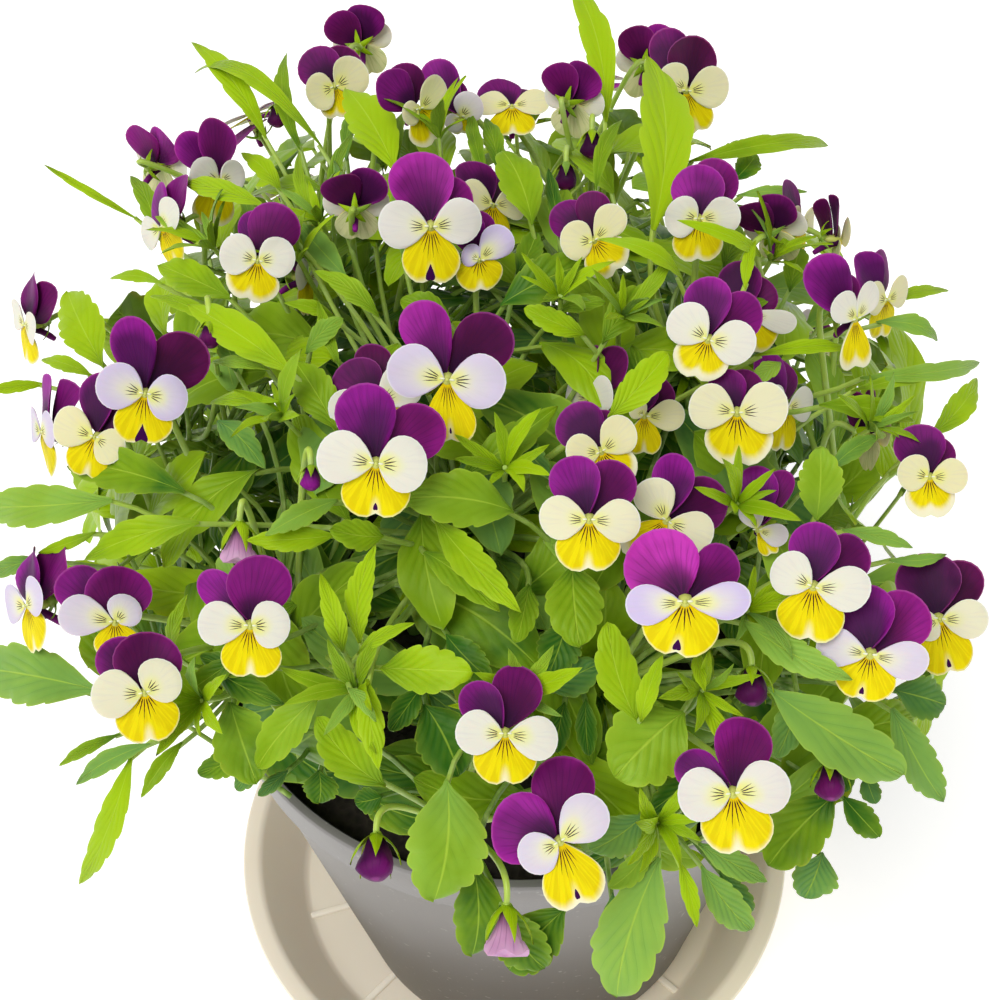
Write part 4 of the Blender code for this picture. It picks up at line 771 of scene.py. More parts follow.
def on_dome(pixel, lift=0.0):
    """Where the line of sight through a pixel meets the dome, or passes it nearest, moved towards the
    viewer, and its depth."""
    ray = picture_ray(pixel)
    depths = VIEW_NEAREST + VIEW_STEP * np.arange(VIEW_STEPS)
    offsets = np.array(EYE)[None, :] + depths[:, None] * np.array(ray)[None, :] - np.array(DOME_AT)[None, :]
    heights = (np.abs(offsets / np.array(DOME_RADII)) ** DOME_POWER).sum(axis=1)
    inside = np.nonzero(heights[1:] <= 1)[0]
    nearest = depths[inside[0]] + VIEW_STEP / 2 if len(inside) else depths[heights.argmin()]
    depth = float(nearest) - lift
    return EYE + depth * ray, depth


def outward(point):
    """Away from the plant's heart, a little below the dome's middle."""
    return (point - DOME_AT + Vector((0, 0, HEART_DEPTH))).normalized()


def sheet(skin, grid, places, thickness, top, under, **values):
    """Adds a thin sheet over a grid of points, as thick as said in its middle and closed along its edges."""
    rows, columns = grid.shape[:2]
    normal = np.cross(np.gradient(grid, axis=1), np.gradient(grid, axis=0))
    length = np.linalg.norm(normal, axis=2, keepdims=True)
    normal = normal / np.maximum(length, 1e-12)
    thick = np.full((rows, columns, 1), thickness / 2)
    thick[0], thick[-1], thick[:, 0], thick[:, -1] = 0, 0, 0, 0
    skin.cover(grid + normal * thick, places, top, **values)
    flipped = {name: np.broadcast_to(value, (rows, columns))[:, ::-1] for name, value in values.items()}
    skin.cover((grid - normal * thick)[:, ::-1], places[:, ::-1], under, **flipped)


def blade(
    skin, base, tip, width, arch, tone, detail, teeth, bend=0.0, fold=0.16, curl=0.0, up=None,
    thickness=LEAF_THICKNESS, outline=LEAF_OUTLINE, blue_sheen=0.0,
):
    """Adds a leaf's blade from its base to its tip, arched out, bent sideways and folded along its midrib,
    with that many rounded, forward-pointing teeth on each side."""
    rows, half = detail
    along = np.array(tip - base)
    length = np.linalg.norm(along)
    facing_out = np.array(up if up is not None else outward((base + tip) / 2))
    side = np.cross(along, facing_out)
    side /= np.linalg.norm(side) + 1e-12
    normal = np.cross(side, along) / length
    v, u = np.mgrid[0 : 1 : (rows + 1) * 1j, -1 : 1 : (2 * half + 1) * 1j]
    saw = np.mod(teeth * v - 2 / 7 * (u > 0), 1.0)
    fading = np.clip((v - 0.08) * 8, 0, 1) * np.clip((1 - v) * 7, 0, 1)
    tooth = (np.sin(math.pi * saw) ** 0.6 * (0.75 + 0.5 * saw) - 0.68) * fading * np.abs(u) ** 4 * (teeth > 0)
    across = u * np.interp(v, *outline) * (1 + TOOTH_DEPTH * tooth) * width / 2
    forward = length * (v + TOOTH_LEAN * tooth)
    ruffle = np.sin(v * (9 + 5 * bend) + 40 * bend + 1.6 * np.sign(u)) * u**2
    dimple = np.cos(math.tau * SIDE_VEINS * (v - 0.5 * np.abs(u))) * (1 - np.abs(u)) * np.abs(u) * 4
    bulge = fold * np.abs(across) + arch * 4 * length * v * (1 - v)
    bulge = bulge + width * (RUFFLE * ruffle + DIMPLE * dimple)
    bulge = bulge - curl * length * np.clip(v - 0.45, 0, 1) ** 2 - 0.3 * abs(curl) * width * u**2
    sway = bend * length * 4 * v * (1 - v)
    grid = np.array(base) + forward[..., None] * along / length
    grid = grid + (across + sway)[..., None] * side + bulge[..., None] * normal
    places = np.stack([(u + 1) / 2, v], axis=-1)
    sheet(skin, grid, places, thickness, 0, 1, tone=tone, cool=rng.random() + blue_sheen)


def leaf_node(target, along):
    """The stem and the place on its shoots nearest a point, from which a leaf that way grows forwards."""
    near = sorted(nodes, key=lambda node: (node[1] - target).length)[:LEAF_NEAREST]
    good = [node for node in near if (target - node[1]).normalized().dot(along) > LEAF_LEAN]
    return (good or near)[0]


def petiole(stem, root, base, along, tone):
    """Adds a leaf's stalk, from its root on a shoot to its blade."""
    reach = (base - root).length
    bow = base - along * reach * 0.25 - outward(base) * reach * 0.30
    path = curve([root, root.lerp(bow, 0.6), bow, base + along * 1.5 * MM], PETIOLE_POINTS)
    radii = PETIOLE_RADIUS * np.linspace(1.1, 0.8, len(path))
    tube(stems[stem], path, radii, sides=6, tone=tone * np.linspace(0.2, 1, len(path) + 2)[:, None])


def stipules(stem, root, ahead, tone):
    """Adds the lobed stipules at a leaf's root: a few narrow fingers."""
    for i in range(STIPULE_COUNT):
        turn = Matrix.Rotation(rng.uniform(-1, 1) + 2.1 * i, 3, ahead)
        way = (ahead * 0.9 + turn @ ahead.orthogonal().normalized() * rng.uniform(0.5, 0.9)).normalized()
        length = rng.uniform(7, 13) * MM
        blade(
            leaves[stem], root, root + way * length, rng.uniform(1.8, 3) * MM, 0.1, tone, (5, 1), 0,
            rng.uniform(-0.1, 0.1),
        )


leaves = [Skin("tone", "cool") for foot in feet]
for leaf in [Leaf(*row) for row in LEAVES]:
    base, base_depth = on_dome(leaf.base, leaf.base_lift * MM)
    tip, tip_depth = on_dome(leaf.tip, leaf.tip_lift * MM)
    slant = LEAF_SLANT * math.dist(leaf.base, leaf.tip) * base_depth / VIEW_FOCAL
    tip_depth = min(max(tip_depth, base_depth - slant), base_depth + slant)
    tip = EYE + tip_depth * picture_ray(leaf.tip)
    width = leaf.wide * (base_depth + tip_depth) / 2 / VIEW_FOCAL
    along = (tip - base).normalized()
    stem, root = leaf_node(base - LEAF_SEAT * outward(base), along)
    middle = (base + tip) / 2
    # The tone is partly each leaf's own, at random, and partly painted light and shade: leaves lying deeper
    # in the plant or lower at the front are painted darker, and those towards the dome's sides lighter
    standing_out = (leaf.base_lift + 2 * leaf.tip_lift + 56) / 56
    tone = min(max(standing_out, 0.1), 1) + rng.uniform(-0.28, 0.12)
    low = min(max((leaf.tip[1] - 700) / 80, 0), 1)
    tone += 0.5 * (1 - max((middle - DOME_AT).normalized().dot(BACK), 0)) + 0.06 - 0.14 * low
    large = leaf.wide > LARGE_LEAF
    teeth = rng.choice((5, 6, 7)) if large else 4
    detail = (6 * teeth, 4) if large else (24, 3)
    bend = rng.uniform(-0.07, 0.07)
    up = outward(middle) + 1.2 * (EYE - middle).normalized()
    fold = rng.uniform(0.05, 0.25)
    outline = LANCE_OUTLINE if (tip - base).length > LANCE_SHARE * width else LEAF_OUTLINE
    # Leaves low at the front get more of the painted bluish sheen
    blade(
        leaves[stem], base, tip, width, leaf.arch, tone, detail, teeth, bend, fold, up=up, outline=outline,
        blue_sheen=0.3 * low,
    )
    petiole(stem, root, base, along, tone)
    stipules(stem, root, (base - root).normalized(), tone)


# The young tufts at the shoots' ends: narrow pale leaves and stipules, still close together. Where each
# shows was read in the photograph
TUFTS = (
    (358, 690), (655, 822), (505, 470), (745, 612), (322, 222), (300, 262), (215, 250), (622, 318),
    (735, 505), (868, 430), (440, 140), (205, 700), (560, 300), (770, 262), (700, 690), (285, 420),
    (520, 690),
)
TUFT_LEAVES = 8
TUFT_LIFT = -12 * MM
GOLDEN_ANGLE = math.radians(137.5)
for tuft in TUFTS:
    at, depth = on_dome(tuft, TUFT_LIFT)
    ahead = outward(at)
    stem, root = leaf_node(at - LEAF_SEAT * ahead, ahead)
    petiole(stem, root, at, ahead, 0.7)
    for i in range(TUFT_LEAVES):
        around = Matrix.Rotation(GOLDEN_ANGLE * i, 3, ahead) @ ahead.orthogonal().normalized()
        way = (ahead * rng.uniform(0.5, 1.2) + around * rng.uniform(0.6, 1)).normalized()
        length = rng.uniform(9, 19) * MM
        blade(
            leaves[stem], at, at + way * length, length * rng.uniform(0.16, 0.26), 0.08,
            rng.uniform(0.6, 1.0), (12, 2), 3, rng.uniform(-0.08, 0.08), curl=rng.uniform(-0.1, 0.1),
            outline=LANCE_OUTLINE,
        )


# The leaves between them: more of the same, smaller, deeper and painted darker for the shade there, up every
# shoot and all round the dome, so that the plant is full on its far side too
SHOOT_LEAVES = 9
DOME_LEAVES = 320
HEART_LEAVES = 220

# The upper edge of the foliage in the photograph, in pixels from the left and from the top, and the gaps in
# it, with how far they go across
UPPER_EDGE = (
    (0, 40, 130, 170, 210, 300, 400, 600, 700, 760, 800, 860, 900, 960, 1000),
    (400, 330, 300, 240, 170, 130, 100, 100, 130, 190, 230, 270, 320, 400, 460),
)
GAPS = (((912, 530), 60), ((880, 505), 40), ((955, 540), 40), ((110, 450), 40), ((915, 392), 30))


def stands_out(base, tip):
    """Whether a leaf would show where the photograph shows none."""
    bulge = (base + tip) / 2 + 3 * MM * outward(base)
    pixels = [in_picture(point) for point in (base, tip, bulge)]
    above = any(y < np.interp(x, *UPPER_EDGE) for x, y in pixels)
    return above or any(math.dist(pixel, gap) < size / 2 for pixel in pixels for gap, size in GAPS)


for number, (stem, path) in enumerate(shoot_paths):
    for i in range(SHOOT_LEAVES):
        share = 0.42 + 0.6 * (i + 0.5) / SHOOT_LEAVES
        step = min(int(share * SHOOT_POINTS), SHOOT_POINTS - 1)
        root = Vector(path[step])
        ahead = Vector(path[step + 1] - path[step]).normalized()
        turn = Matrix.Rotation(GOLDEN_ANGLE * (i + 1.7 * number), 3, ahead)
        around = turn @ ahead.orthogonal().normalized()
        way = (0.6 * ahead + 0.9 * around + 0.3 * outward(root)).normalized()
        length = rng.uniform(20, 32) * MM
        base = root + way * rng.uniform(6, 12) * MM
        tip = base + (way * 0.9 - Vector((0, 0, 0.2))).normalized() * length
        # Partly random, partly painted shade: leaves nearer the shoot's root, deeper in the plant, are
        # painted darker
        tone = rng.uniform(0.1, 0.55) + 0.5 * share
        if shows_pot(base, tip) or stands_out(base, tip):
            continue
        blade(
            leaves[stem], base, tip, length * rng.uniform(0.32, 0.5), 0.05, tone, (15, 3), 3,
            rng.uniform(-0.08, 0.08), curl=rng.uniform(-0.05, 0.2),
        )
        petiole(stem, root, base, way, tone)
        stipules(stem, root, way, tone + 0.1)
for i in range(DOME_LEAVES + HEART_LEAVES):
    deep = i >= DOME_LEAVES
    count, number = (HEART_LEAVES, i - DOME_LEAVES) if deep else (DOME_LEAVES, i)
    upright = -0.12 + 1.12 * (number + 0.5) / count
    bearing = math.degrees(GOLDEN_ANGLE * number)
    direction = direction_at(bearing, math.degrees(math.asin(upright)))
    away = max(0.0, direction.y)
    reach = rng.uniform(0.6, 0.74) if deep else rng.uniform(0.84, 0.9) + 0.08 * away
    tip = dome_point(direction, reach)
    slope = Matrix.Rotation(rng.uniform(0, math.tau), 3, direction) @ direction.orthogonal().normalized()
    way = (slope * 0.8 + 0.5 * direction - Vector((0, 0, 0.25))).normalized()
    length = rng.uniform(24, 38) * MM
    base = tip - way * length
    stem, root = leaf_node(base - LEAF_SEAT * outward(base), way)
    aside = 1 - max(direction.dot(BACK), 0)
    # Partly random, partly painted light and shade: the deep leaves are painted dark, and those towards the
    # dome's sides lighter
    tone = rng.uniform(0, 0.15) if deep else rng.uniform(0.2, 0.7) + 0.6 * aside
    if shows_pot(base, tip) or stands_out(base, tip):
        continue
    detail = (10, 2) if deep else (15, 3)
    blade(
        leaves[stem], base, tip, length * rng.uniform(0.34, 0.52), 0.08, tone, detail, 3,
        rng.uniform(-0.08, 0.08), curl=rng.uniform(0, 0.2),
    )
    petiole(stem, root, base, way, tone)


# The blooms: each has two velvety upper petals one behind the other, two side petals, a notched lower petal
# with dark guide lines, a green throat and a spur, all grown together at its middle
BLOOM_SMALLEST = 16 * MM
BLOOM_LARGEST = 26 * MM
PETAL_THICKNESS = 0.4 * MM
PETAL_ROWS = 10
PETAL_COLUMNS = 23
PETAL_VALUES = ("shade", "wine", "lilac", "spot", "pale")

# The petals of a bloom one unit wide, from its right side round: lengths are shares of its width, angles in
# degrees
Petal = namedtuple("Petal", "slot angle start length spread round depth tilt notch curl cup wave")
PETALS = (
    Petal(1, 12, 0.02, 0.49, 52, 0.34, 0.040, 4, 0.0, -0.10, 0.10, 0.035),
    Petal(0, 63, 0.03, 0.67, 53, 0.36, -0.085, -15, 0.0, -0.10, 0.14, 0.07),
    Petal(0, 115, 0.03, 0.69, 53, 0.36, -0.040, -9, 0.0, -0.10, 0.14, 0.07),
    Petal(1, 168, 0.02, 0.49, 52, 0.34, 0.040, 4, 0.0, -0.10, 0.10, 0.035),
    Petal(2, 270, -0.02, 0.56, 62, 0.24, 0.014, -2, 0.11, 0.04, -0.14, 0.03),
)

# Each bloom was read from the photograph: its place and how wide it is, in pixels, how many degrees
# it turns right, nods down and rolls anticlockwise, and how many millimetres it stands off the dome. Left and
# right say how dark its upper petals are, lilac how much its side petals are (below 0 is cream), spot how
# large the dark mark at its notch is, and pale how far the lower petal's cream rim comes in. Front says which
# upper petal covers the other. The tips give where each petal ends in the photograph and how wide it is. One
# that isn't its own node belongs to its stem's
Bloom = namedtuple(
    "Bloom",
    "name at span turn nod roll lift own left right lilac spot pale front tips",
    defaults=(0, 6, 0, 0, True, 0.5, 0.65, 0.1, 0, 0.3, "left", ()),
)
BLOOMS = (
    Bloom("01", (363, 44), 62, turn=168, nod=-15, roll=-14, lift=-22, own=False, left=0.6, right=0.55),
    Bloom("02", (335, 87), 74, roll=16, lift=-6, left=0.8, right=0.85, lilac=-0.7, pale=0.5,
          tips=((308, 50, 46), (350, 46, 44), (306, 94, 44), (365, 65, 40), (338, 120, 31))),
    Bloom("03", (418, 109), 76, turn=32, roll=14, lift=4, left=0.75, right=0.8, lilac=-0.7, pale=0.6,
          tips=((385, 78, 44), (412, 61, 42), (401, 116, 34), (442, 81, 34), (435, 142, 44))),
    Bloom("04", (460, 117), 74, turn=8, roll=6, lift=-12, left=0.6, lilac=0.4, pale=0.5,
          tips=((430, 61, 38), (454, 80, 30), (446, 128, 24), (477, 96, 34), (462, 135, 34))),
    Bloom("05", (512, 108), 72, nod=-40, lift=-24, own=False, left=0.8, right=0.8, lilac=-0.7),
    Bloom("06", (160, 165), 66, turn=135, nod=-12, roll=14, lift=-6, left=0.3, right=0.4),
    Bloom("07", (218, 180), 88, turn=24, roll=-2, left=0.35, right=0.5, lilac=0.2, front="right", pale=0.5,
          tips=((190, 132, 36), (222, 116, 43), (186, 172, 40), (243, 171, 32), (212, 229, 46))),
    Bloom("08", (164, 228), 80, turn=-62, roll=24, lift=4, left=0.55, right=0.6),
    Bloom("09", (258, 261), 80, turn=-6, roll=-12, lift=5, left=0.5, right=0.6, front="right", pale=0.6,
          tips=((247, 208, 34), (285, 204, 54), (220, 247, 42), (294, 253, 41), (247, 303, 54))),
    Bloom("10", (306, 278), 72, turn=70, lift=-24, own=False),
    Bloom("11", (356, 207), 64, turn=176, nod=-20, lift=2, left=0.75, right=0.75),
    Bloom("12", (431, 227), 104, roll=-2, lift=6, left=0.25, right=0.45, lilac=0.2, spot=0.75, pale=0.3,
          tips=((418, 150, 66), (468, 184, 50), (378, 225, 48), (481, 215, 47), (430, 285, 59))),
    Bloom("13", (479, 260), 84, turn=8, roll=-12, lift=-8, lilac=0.9, pale=0.3,
          tips=((460, 214, 36), (482, 210, 36), (462, 250, 24), (509, 228, 36), (480, 293, 51))),
    Bloom("14", (492, 206), 76, turn=34, nod=-16, roll=-10, lift=-18, own=False, left=0.85, right=0.85,
          lilac=-0.7),
    Bloom("15", (28, 325), 74, turn=-74, roll=-18, left=0.8, right=0.8),
    Bloom("16", (145, 394), 94, roll=-9, lift=8, left=0.45, right=0.9, lilac=0.8, spot=1, pale=0.25,
          tips=((128, 315, 47), (204, 343, 60), (98, 376, 49), (187, 398, 46), (142, 447, 58))),
    Bloom("17", (96, 437), 80, turn=-22, roll=-14, lift=-5, left=0.7, lilac=-0.7, pale=0.1,
          tips=((92, 372, 40), (118, 383, 40), (54, 418, 42), (124, 455, 38), (84, 480, 52))),
    Bloom("18", (45, 432), 84, turn=-76, roll=-6, left=0.4, lilac=0.7),
    Bloom("20", (447, 380), 116, roll=-8, lift=2, left=0.3, right=0.85, lilac=0.7, spot=0.25, pale=0.1,
          tips=((415, 298, 52), (512, 322, 63), (387, 363, 56), (505, 380, 56), (453, 447, 52))),
    Bloom("21", (378, 404), 100, roll=26, lift=-15, own=False, left=0.85, right=0.9,
          tips=((338, 365, 56), (372, 340, 40))),
    Bloom("22", (376, 464), 112, roll=-6, lift=10, right=0.4, lilac=0.1, spot=0.35, pale=0.1,
          tips=((361, 381, 64), (442, 413, 60), (317, 450, 54), (428, 463, 57), (375, 522, 70))),
    Bloom("24a", (646, 66), 64, turn=172, nod=-6, roll=8, lift=-26, left=0.55, right=0.75),
    Bloom("24b", (686, 91), 78, turn=10, roll=-6, lift=-12, left=0.8, right=1, lilac=-0.6, front="right",
          tips=((667, 28, 42), (698, 36, 52), (664, 66, 32), (728, 83, 41), (698, 135, 38))),
    Bloom("25", (573, 103), 66, turn=158, nod=-8, roll=10, lift=-6, left=0.3, right=0.4),
    Bloom("26", (594, 241), 78, roll=30, lift=3, left=0.8, right=0.85, lilac=-0.7, front="right", pale=0.6,
          tips=((552, 208, 41), (593, 189, 36), (561, 238, 40), (622, 207, 34), (618, 274, 50))),
    Bloom("27", (699, 219), 78, roll=0, lift=3, left=0.35, right=0.45, pale=0.4,
          tips=((698, 163, 56), (729, 160, 50), (665, 213, 42), (741, 210, 38), (698, 264, 50))),
    Bloom("28", (775, 230), 54, turn=160, nod=-25, roll=-8, lift=-2, own=False, left=0.8, right=0.8),
    Bloom("29", (799, 224), 54, turn=66, lift=-14, own=False, left=0.85, right=0.85, lilac=-0.7),
    Bloom("30", (838, 240), 50, turn=104, roll=-12, lift=-4, own=False, left=0.85, right=0.85, lilac=-0.7),
    Bloom("31", (854, 319), 88, turn=42, roll=17, lift=7, left=0.4, right=0.7, pale=0.6,
          tips=((823, 261, 56), (868, 272, 22), (833, 298, 34), (873, 284, 30), (855, 374, 40))),
    Bloom("32", (884, 300), 76, turn=58, roll=8, lift=-12, own=False, lilac=-0.7),
    Bloom("33", (708, 340), 92, roll=-22, lift=8, left=0.4, right=0.6, pale=0.7,
          tips=((710, 277, 48), (764, 302, 50), (671, 312, 46), (755, 343, 46), (692, 381, 57))),
    Bloom("34", (747, 312), 86, roll=12, lift=-15, own=False, left=0.8, right=0.85,
          tips=((736, 262, 46), (768, 280, 44), (720, 320, 30), (797, 326, 24))),
    Bloom("35", (737, 413), 100, lift=-3, left=0.75, right=0.8, lilac=-0.5, pale=0.6,
          tips=((722, 370, 40), (748, 370, 40), (688, 402, 47), (788, 402, 52), (737, 467, 69))),
    Bloom("36", (784, 408), 82, turn=54, lift=-20, own=False),
    Bloom("37", (592, 398), 80, turn=-56, lift=-26, own=False, left=0.85, right=0.85),
    Bloom("38", (601, 452), 84, turn=6, roll=28, lift=-2, left=0.75, right=0.8, lilac=-0.7, pale=0.7,
          tips=((567, 407, 52), (610, 409, 34), (565, 453, 36), (631, 421, 41), (620, 492, 58))),
    Bloom("39", (644, 416), 80, turn=8, roll=-12, lift=-13, left=0.8, right=0.85, lilac=-0.7, pale=0.2,
          tips=((640, 378, 36), (668, 377, 42), (632, 404, 20), (685, 413, 33), (643, 457, 36))),
    Bloom("40", (589, 520), 102, roll=-2, lift=6, left=0.6, right=0.65, lilac=-0.4, pale=0.25,
          tips=((566, 457, 52), (627, 462, 54), (540, 515, 45), (641, 520, 45), (588, 574, 65))),
    Bloom("41", (666, 521), 92, turn=6, roll=-34, lift=-9, left=0.45, right=0.75, lilac=-0.4, pale=0.7,
          tips=((677, 454, 44), (738, 495, 58), (646, 478, 42), (711, 542, 46), (628, 560, 50))),
    Bloom("42", (758, 530), 70, turn=-8, lift=-16, own=False, left=0.6, right=0.6, lilac=0.4,
          tips=((753, 465, 44), (786, 468, 30), (747, 502, 26), (788, 538, 24), (772, 557, 20))),
    Bloom("43", (685, 602), 124, roll=-1, lift=9, left=0, right=0.6, lilac=0.9, spot=0.5, pale=0.1,
          tips=((641, 537, 80), (736, 548, 50), (625, 604, 42), (750, 600, 39), (674, 657, 77))),
    Bloom("44", (813, 587), 102, roll=-20, lift=5, left=0.5, right=0.7, pale=0.2,
          tips=((816, 522, 53), (870, 541, 51), (772, 563, 46), (871, 592, 47), (806, 645, 68))),
    Bloom("45", (870, 655), 112, roll=-7, lift=8, left=0.5, right=0.35, lilac=0.6, spot=0.4, pale=0.1,
          tips=((860, 582, 64), (924, 598, 62), (816, 643, 40), (928, 663, 40), (861, 704, 62))),
    Bloom("46", (939, 619), 96, turn=8, roll=-6, lift=-8, left=0.85, right=0.9, lilac=-0.3, spot=0.4,
          pale=0.1, tips=((922, 551, 66), (974, 562, 50), (915, 632, 36), (987, 616, 40), (950, 675, 54))),
    Bloom("47", (929, 477), 78, turn=12, roll=-2, left=0.75, right=0.8, lilac=-0.7, pale=0.8,
          tips=((918, 423, 52), (950, 438, 36), (898, 468, 38), (968, 475, 36), (930, 519, 51))),
    Bloom("48", (872, 436), 60, turn=118, lift=-22, own=False, left=0.8, right=0.8, lilac=-0.7),
    Bloom("49", (505, 734), 100, turn=6, lift=4, left=0.7, right=0.75, pale=0.1,
          tips=((466, 688, 44), (528, 663, 54), (455, 733, 46), (557, 737, 44), (504, 787, 65))),
    Bloom("50", (560, 842), 102, roll=30, lift=9, left=0.35, right=0.5, lilac=0.6, spot=0.4, pale=0.4,
          tips=((490, 820, 72), (568, 754, 64), (521, 862, 44), (601, 802, 50), (583, 909, 64))),
    Bloom("51", (733, 794), 112, roll=7, lift=8, left=0.6, right=0.45, lilac=0.2, pale=0.3,
          tips=((679, 757, 42), (750, 713, 60), (678, 795, 53), (788, 777, 54), (738, 858, 74))),
    Bloom("57", (115, 623), 92, nod=-8, roll=6, lift=-7, left=0.7, right=0.55, lilac=0.6, front="right",
          pale=0.3, tips=((58, 558, 50), (123, 562, 68), (58, 614, 42), (134, 599, 42), (118, 662, 46))),
    Bloom("58", (30, 606), 92, turn=-66, roll=8, lilac=0.7),
    Bloom("59", (250, 626), 96, roll=-3, lift=5, left=0.55, right=0.6, front="right", pale=0.15,
          tips=((202, 573, 38), (268, 557, 66), (196, 620, 45), (289, 622, 50), (252, 681, 60))),
    Bloom("60", (145, 693), 94, turn=-4, roll=14, lift=9, left=0.75, right=0.75, lilac=-0.3, front="right",
          pale=0.1, tips=((98, 642, 50), (152, 633, 68), (90, 693, 50), (176, 667, 48), (150, 745, 65))),
)

# The blooms on the far side: their bearings round the pot and their heights, in degrees
FAR_BLOOMS = (
    ("0a", 44, 2), ("1a", 66, 20), ("1b", 76, 38), ("2a", 98, 18),
    ("3a", 118, 20), ("3b", 124, 38), ("4a", 146, 2),
)
FAR_BLOOM_WIDTH = 23 * MM
FAR_BLOOM_LIFT = 0.25
FAR_BLOOM_ROLL = 12


def petal_surface(name, roughness, gloss):
    """A petal's material and shader, a place on it, how far across and along it that lies, and its veins."""
    material, shader = surface(name, roughness)
    place = on_piece(shader)
    across, along = on_sheet(shader)
    streaks = add("CombineXYZ", times(across, 26), times(along, 1.6))
    veins = add("TexNoise", add("VectorMath", streaks, place, operation="ADD"), None, 1.0, 3.0)
    shader.inputs["Specular IOR Level"].default_value = gloss
    shader.inputs["Subsurface Weight"].default_value = 0.12
    shader.inputs["Subsurface Scale"].default_value = 1 * MM
    relief(shader, veins, 0.07 * MM)
    return material, shader, place, across, along, veins


# Upper petals: lilac to plum by their shade, darkest at the root and along fine rays, more vivid towards the
# rim in their own colour and in painted sheen, with a painted highlight along the rim
petal_upper, shader, place, across, along, veins = petal_surface("petal_upper", 0.55, 0.12)
shade = value_of(shader, "shade")
tints = []
for lilac, magenta, purple, plum in (
    ((0.50, 0.22, 0.44), (0.21, 0.006, 0.165), (0.082, 0.002, 0.088), (0.026, 0.001, 0.022)),
    ((0.66, 0.40, 0.60), (0.50, 0.030, 0.41), (0.27, 0.008, 0.26), (0.105, 0.003, 0.072)),
):
    tint = mixed(ramp(shade, -0.9, -0.1), lilac, magenta)
    tint = mixed(ramp(shade, 0, 0.5), tint, purple)
    tints.append(mixed(ramp(shade, 0.5, 1), tint, plum))
deep, vivid = tints
clouds = grain(place, 75)
# The vivid zones, by noise and nearer the rim, are partly the petals' own colour and partly painted sheen
# where the petals curve
tint = mixed(ramp(scaled(along, 0.55, clouds), 0.74, 1.08), deep, vivid)
wine_red = mixed(shade, (0.27, 0.007, 0.14), (0.055, 0.001, 0.024))
tint = mixed(times(value_of(shader, "wine"), 0.4), tint, wine_red)
tint = mixed(ramp(along, 0.10, 0.65, 0.9, 0), tint, (0.020, 0.001, 0.026))
rays = calc("PINGPONG", scaled(across, 15, times(clouds, 1.5)), 0.5)
rays = times(ramp(rays, 0.0, 0.16, 0.32, 0), ramp(along, 0.75, 0.97, 1, 0))
tint = mixed(rays, tint, (0.040, 0.001, 0.050))
tint = mixed(times(ramp(veins, 0.46, 0.62), 0.22), tint, deep)
# Painted highlight: a thin lighter line along the rim
tint = mixed(ramp(along, 0.962, 0.985, 0.0, 0.30), tint, (0.50, 0.10, 0.42))
paint(shader, tint)
shader.inputs["Sheen Weight"].default_value = 0.04
shader.inputs["Sheen Tint"].default_value = (0.8, 0.25, 0.9, 1)
shader.inputs["Sheen Roughness"].default_value = 0.5

# Side petals: white, cream or lilac, yellow at the root, with a few short dark whiskers
WHISKERS = 9
petal_side, shader, place, across, along, veins = petal_surface("petal_side", 0.5, 0.1)
lilac = value_of(shader, "lilac")
cloudy = scaled(grain(place, 120), 0.5, along)
tint = mixed(times(lilac, -1.0), (0.73, 0.72, 0.595), (0.73, 0.68, 0.33))
tint = mixed(times(lilac, ramp(cloudy, 0.4, 1.15)), tint, (0.56, 0.47, 0.74))
tint = mixed(times(ramp(veins, 0.5, 0.7), 0.16), tint, (0.52, 0.50, 0.56))
tint = mixed(ramp(cloudy, 0.35, 0.80, 0.85, 0), tint, (0.74, 0.74, 0.16))
tint = mixed(ramp(along, 0.962, 0.985, 0.0, 0.5), tint, (0.86, 0.82, 0.80))
off_middle = calc("ABSOLUTE", calc("SUBTRACT", across, 0.5))
comb = calc("PINGPONG", times(across, WHISKERS), 0.5)
narrow = times(calc("DIVIDE", ramp(along, 0.252, 0.42, 0.0052, 0.0), along), WHISKERS)
whiskers = times(calc("LESS_THAN", comb, narrow), ramp(along, 0.11, 0.16))
tint = mixed(times(whiskers, ramp(off_middle, 0.17, 0.20, 1, 0)), tint, (0.025, 0.006, 0.03))
paint(shader, tint)

# Lower petal: yellow with a cream rim and streak, dark guide lines that run out from the throat, each to a
# point, and a dark mark at the notch
GUIDES = 10
petal_lower, shader, place, across, along, veins = petal_surface("petal_lower", 0.5, 0.04)
cream = (0.84, 0.79, 0.56)
off_middle = calc("ABSOLUTE", calc("SUBTRACT", across, 0.5))
reach = plus(scaled(grain(place, 160), 0.10, along), ramp(off_middle, 0.02, 0.16, 0.06, 0))
reach = scaled(value_of(shader, "pale"), 0.36, reach)
tint = mixed(ramp(veins, 0.4, 0.6), (0.69, 0.56, 0.003), (0.79, 0.67, 0.004))
tint = mixed(ramp(along, 0.10, 0.50, 0.55, 0), tint, (0.72, 0.44, 0.001))
tint = mixed(ramp(reach, 1.06, 1.24), tint, cream)
tint = mixed(ramp(along, 0.955, 0.985, 0.0, 0.45), tint, cream)
streak = times(ramp(off_middle, 0.005, 0.07, 0.8, 0), ramp(along, 0.60, 0.95))
tint = mixed(streak, tint, cream)
end = ramp(off_middle, 0.0, 0.33, 0.60, 0.38)
comb = calc("PINGPONG", scaled(across, GUIDES, 0.5), 0.5)
taper = calc("SUBTRACT", 1.0, calc("POWER", calc("DIVIDE", along, end), 3))
narrow = times(calc("DIVIDE", calc("MAXIMUM", taper, 0), along), 0.0056 * GUIDES)
guides = times(calc("LESS_THAN", comb, calc("MINIMUM", narrow, 0.25)), ramp(along, 0.12, 0.18))
tint = mixed(times(guides, ramp(off_middle, 0.29, 0.33, 1, 0)), tint, (0.050, 0.012, 0.008))
aside = calc("DIVIDE", off_middle, ramp(along, 0.62, 0.96, 0.012, 0.075))
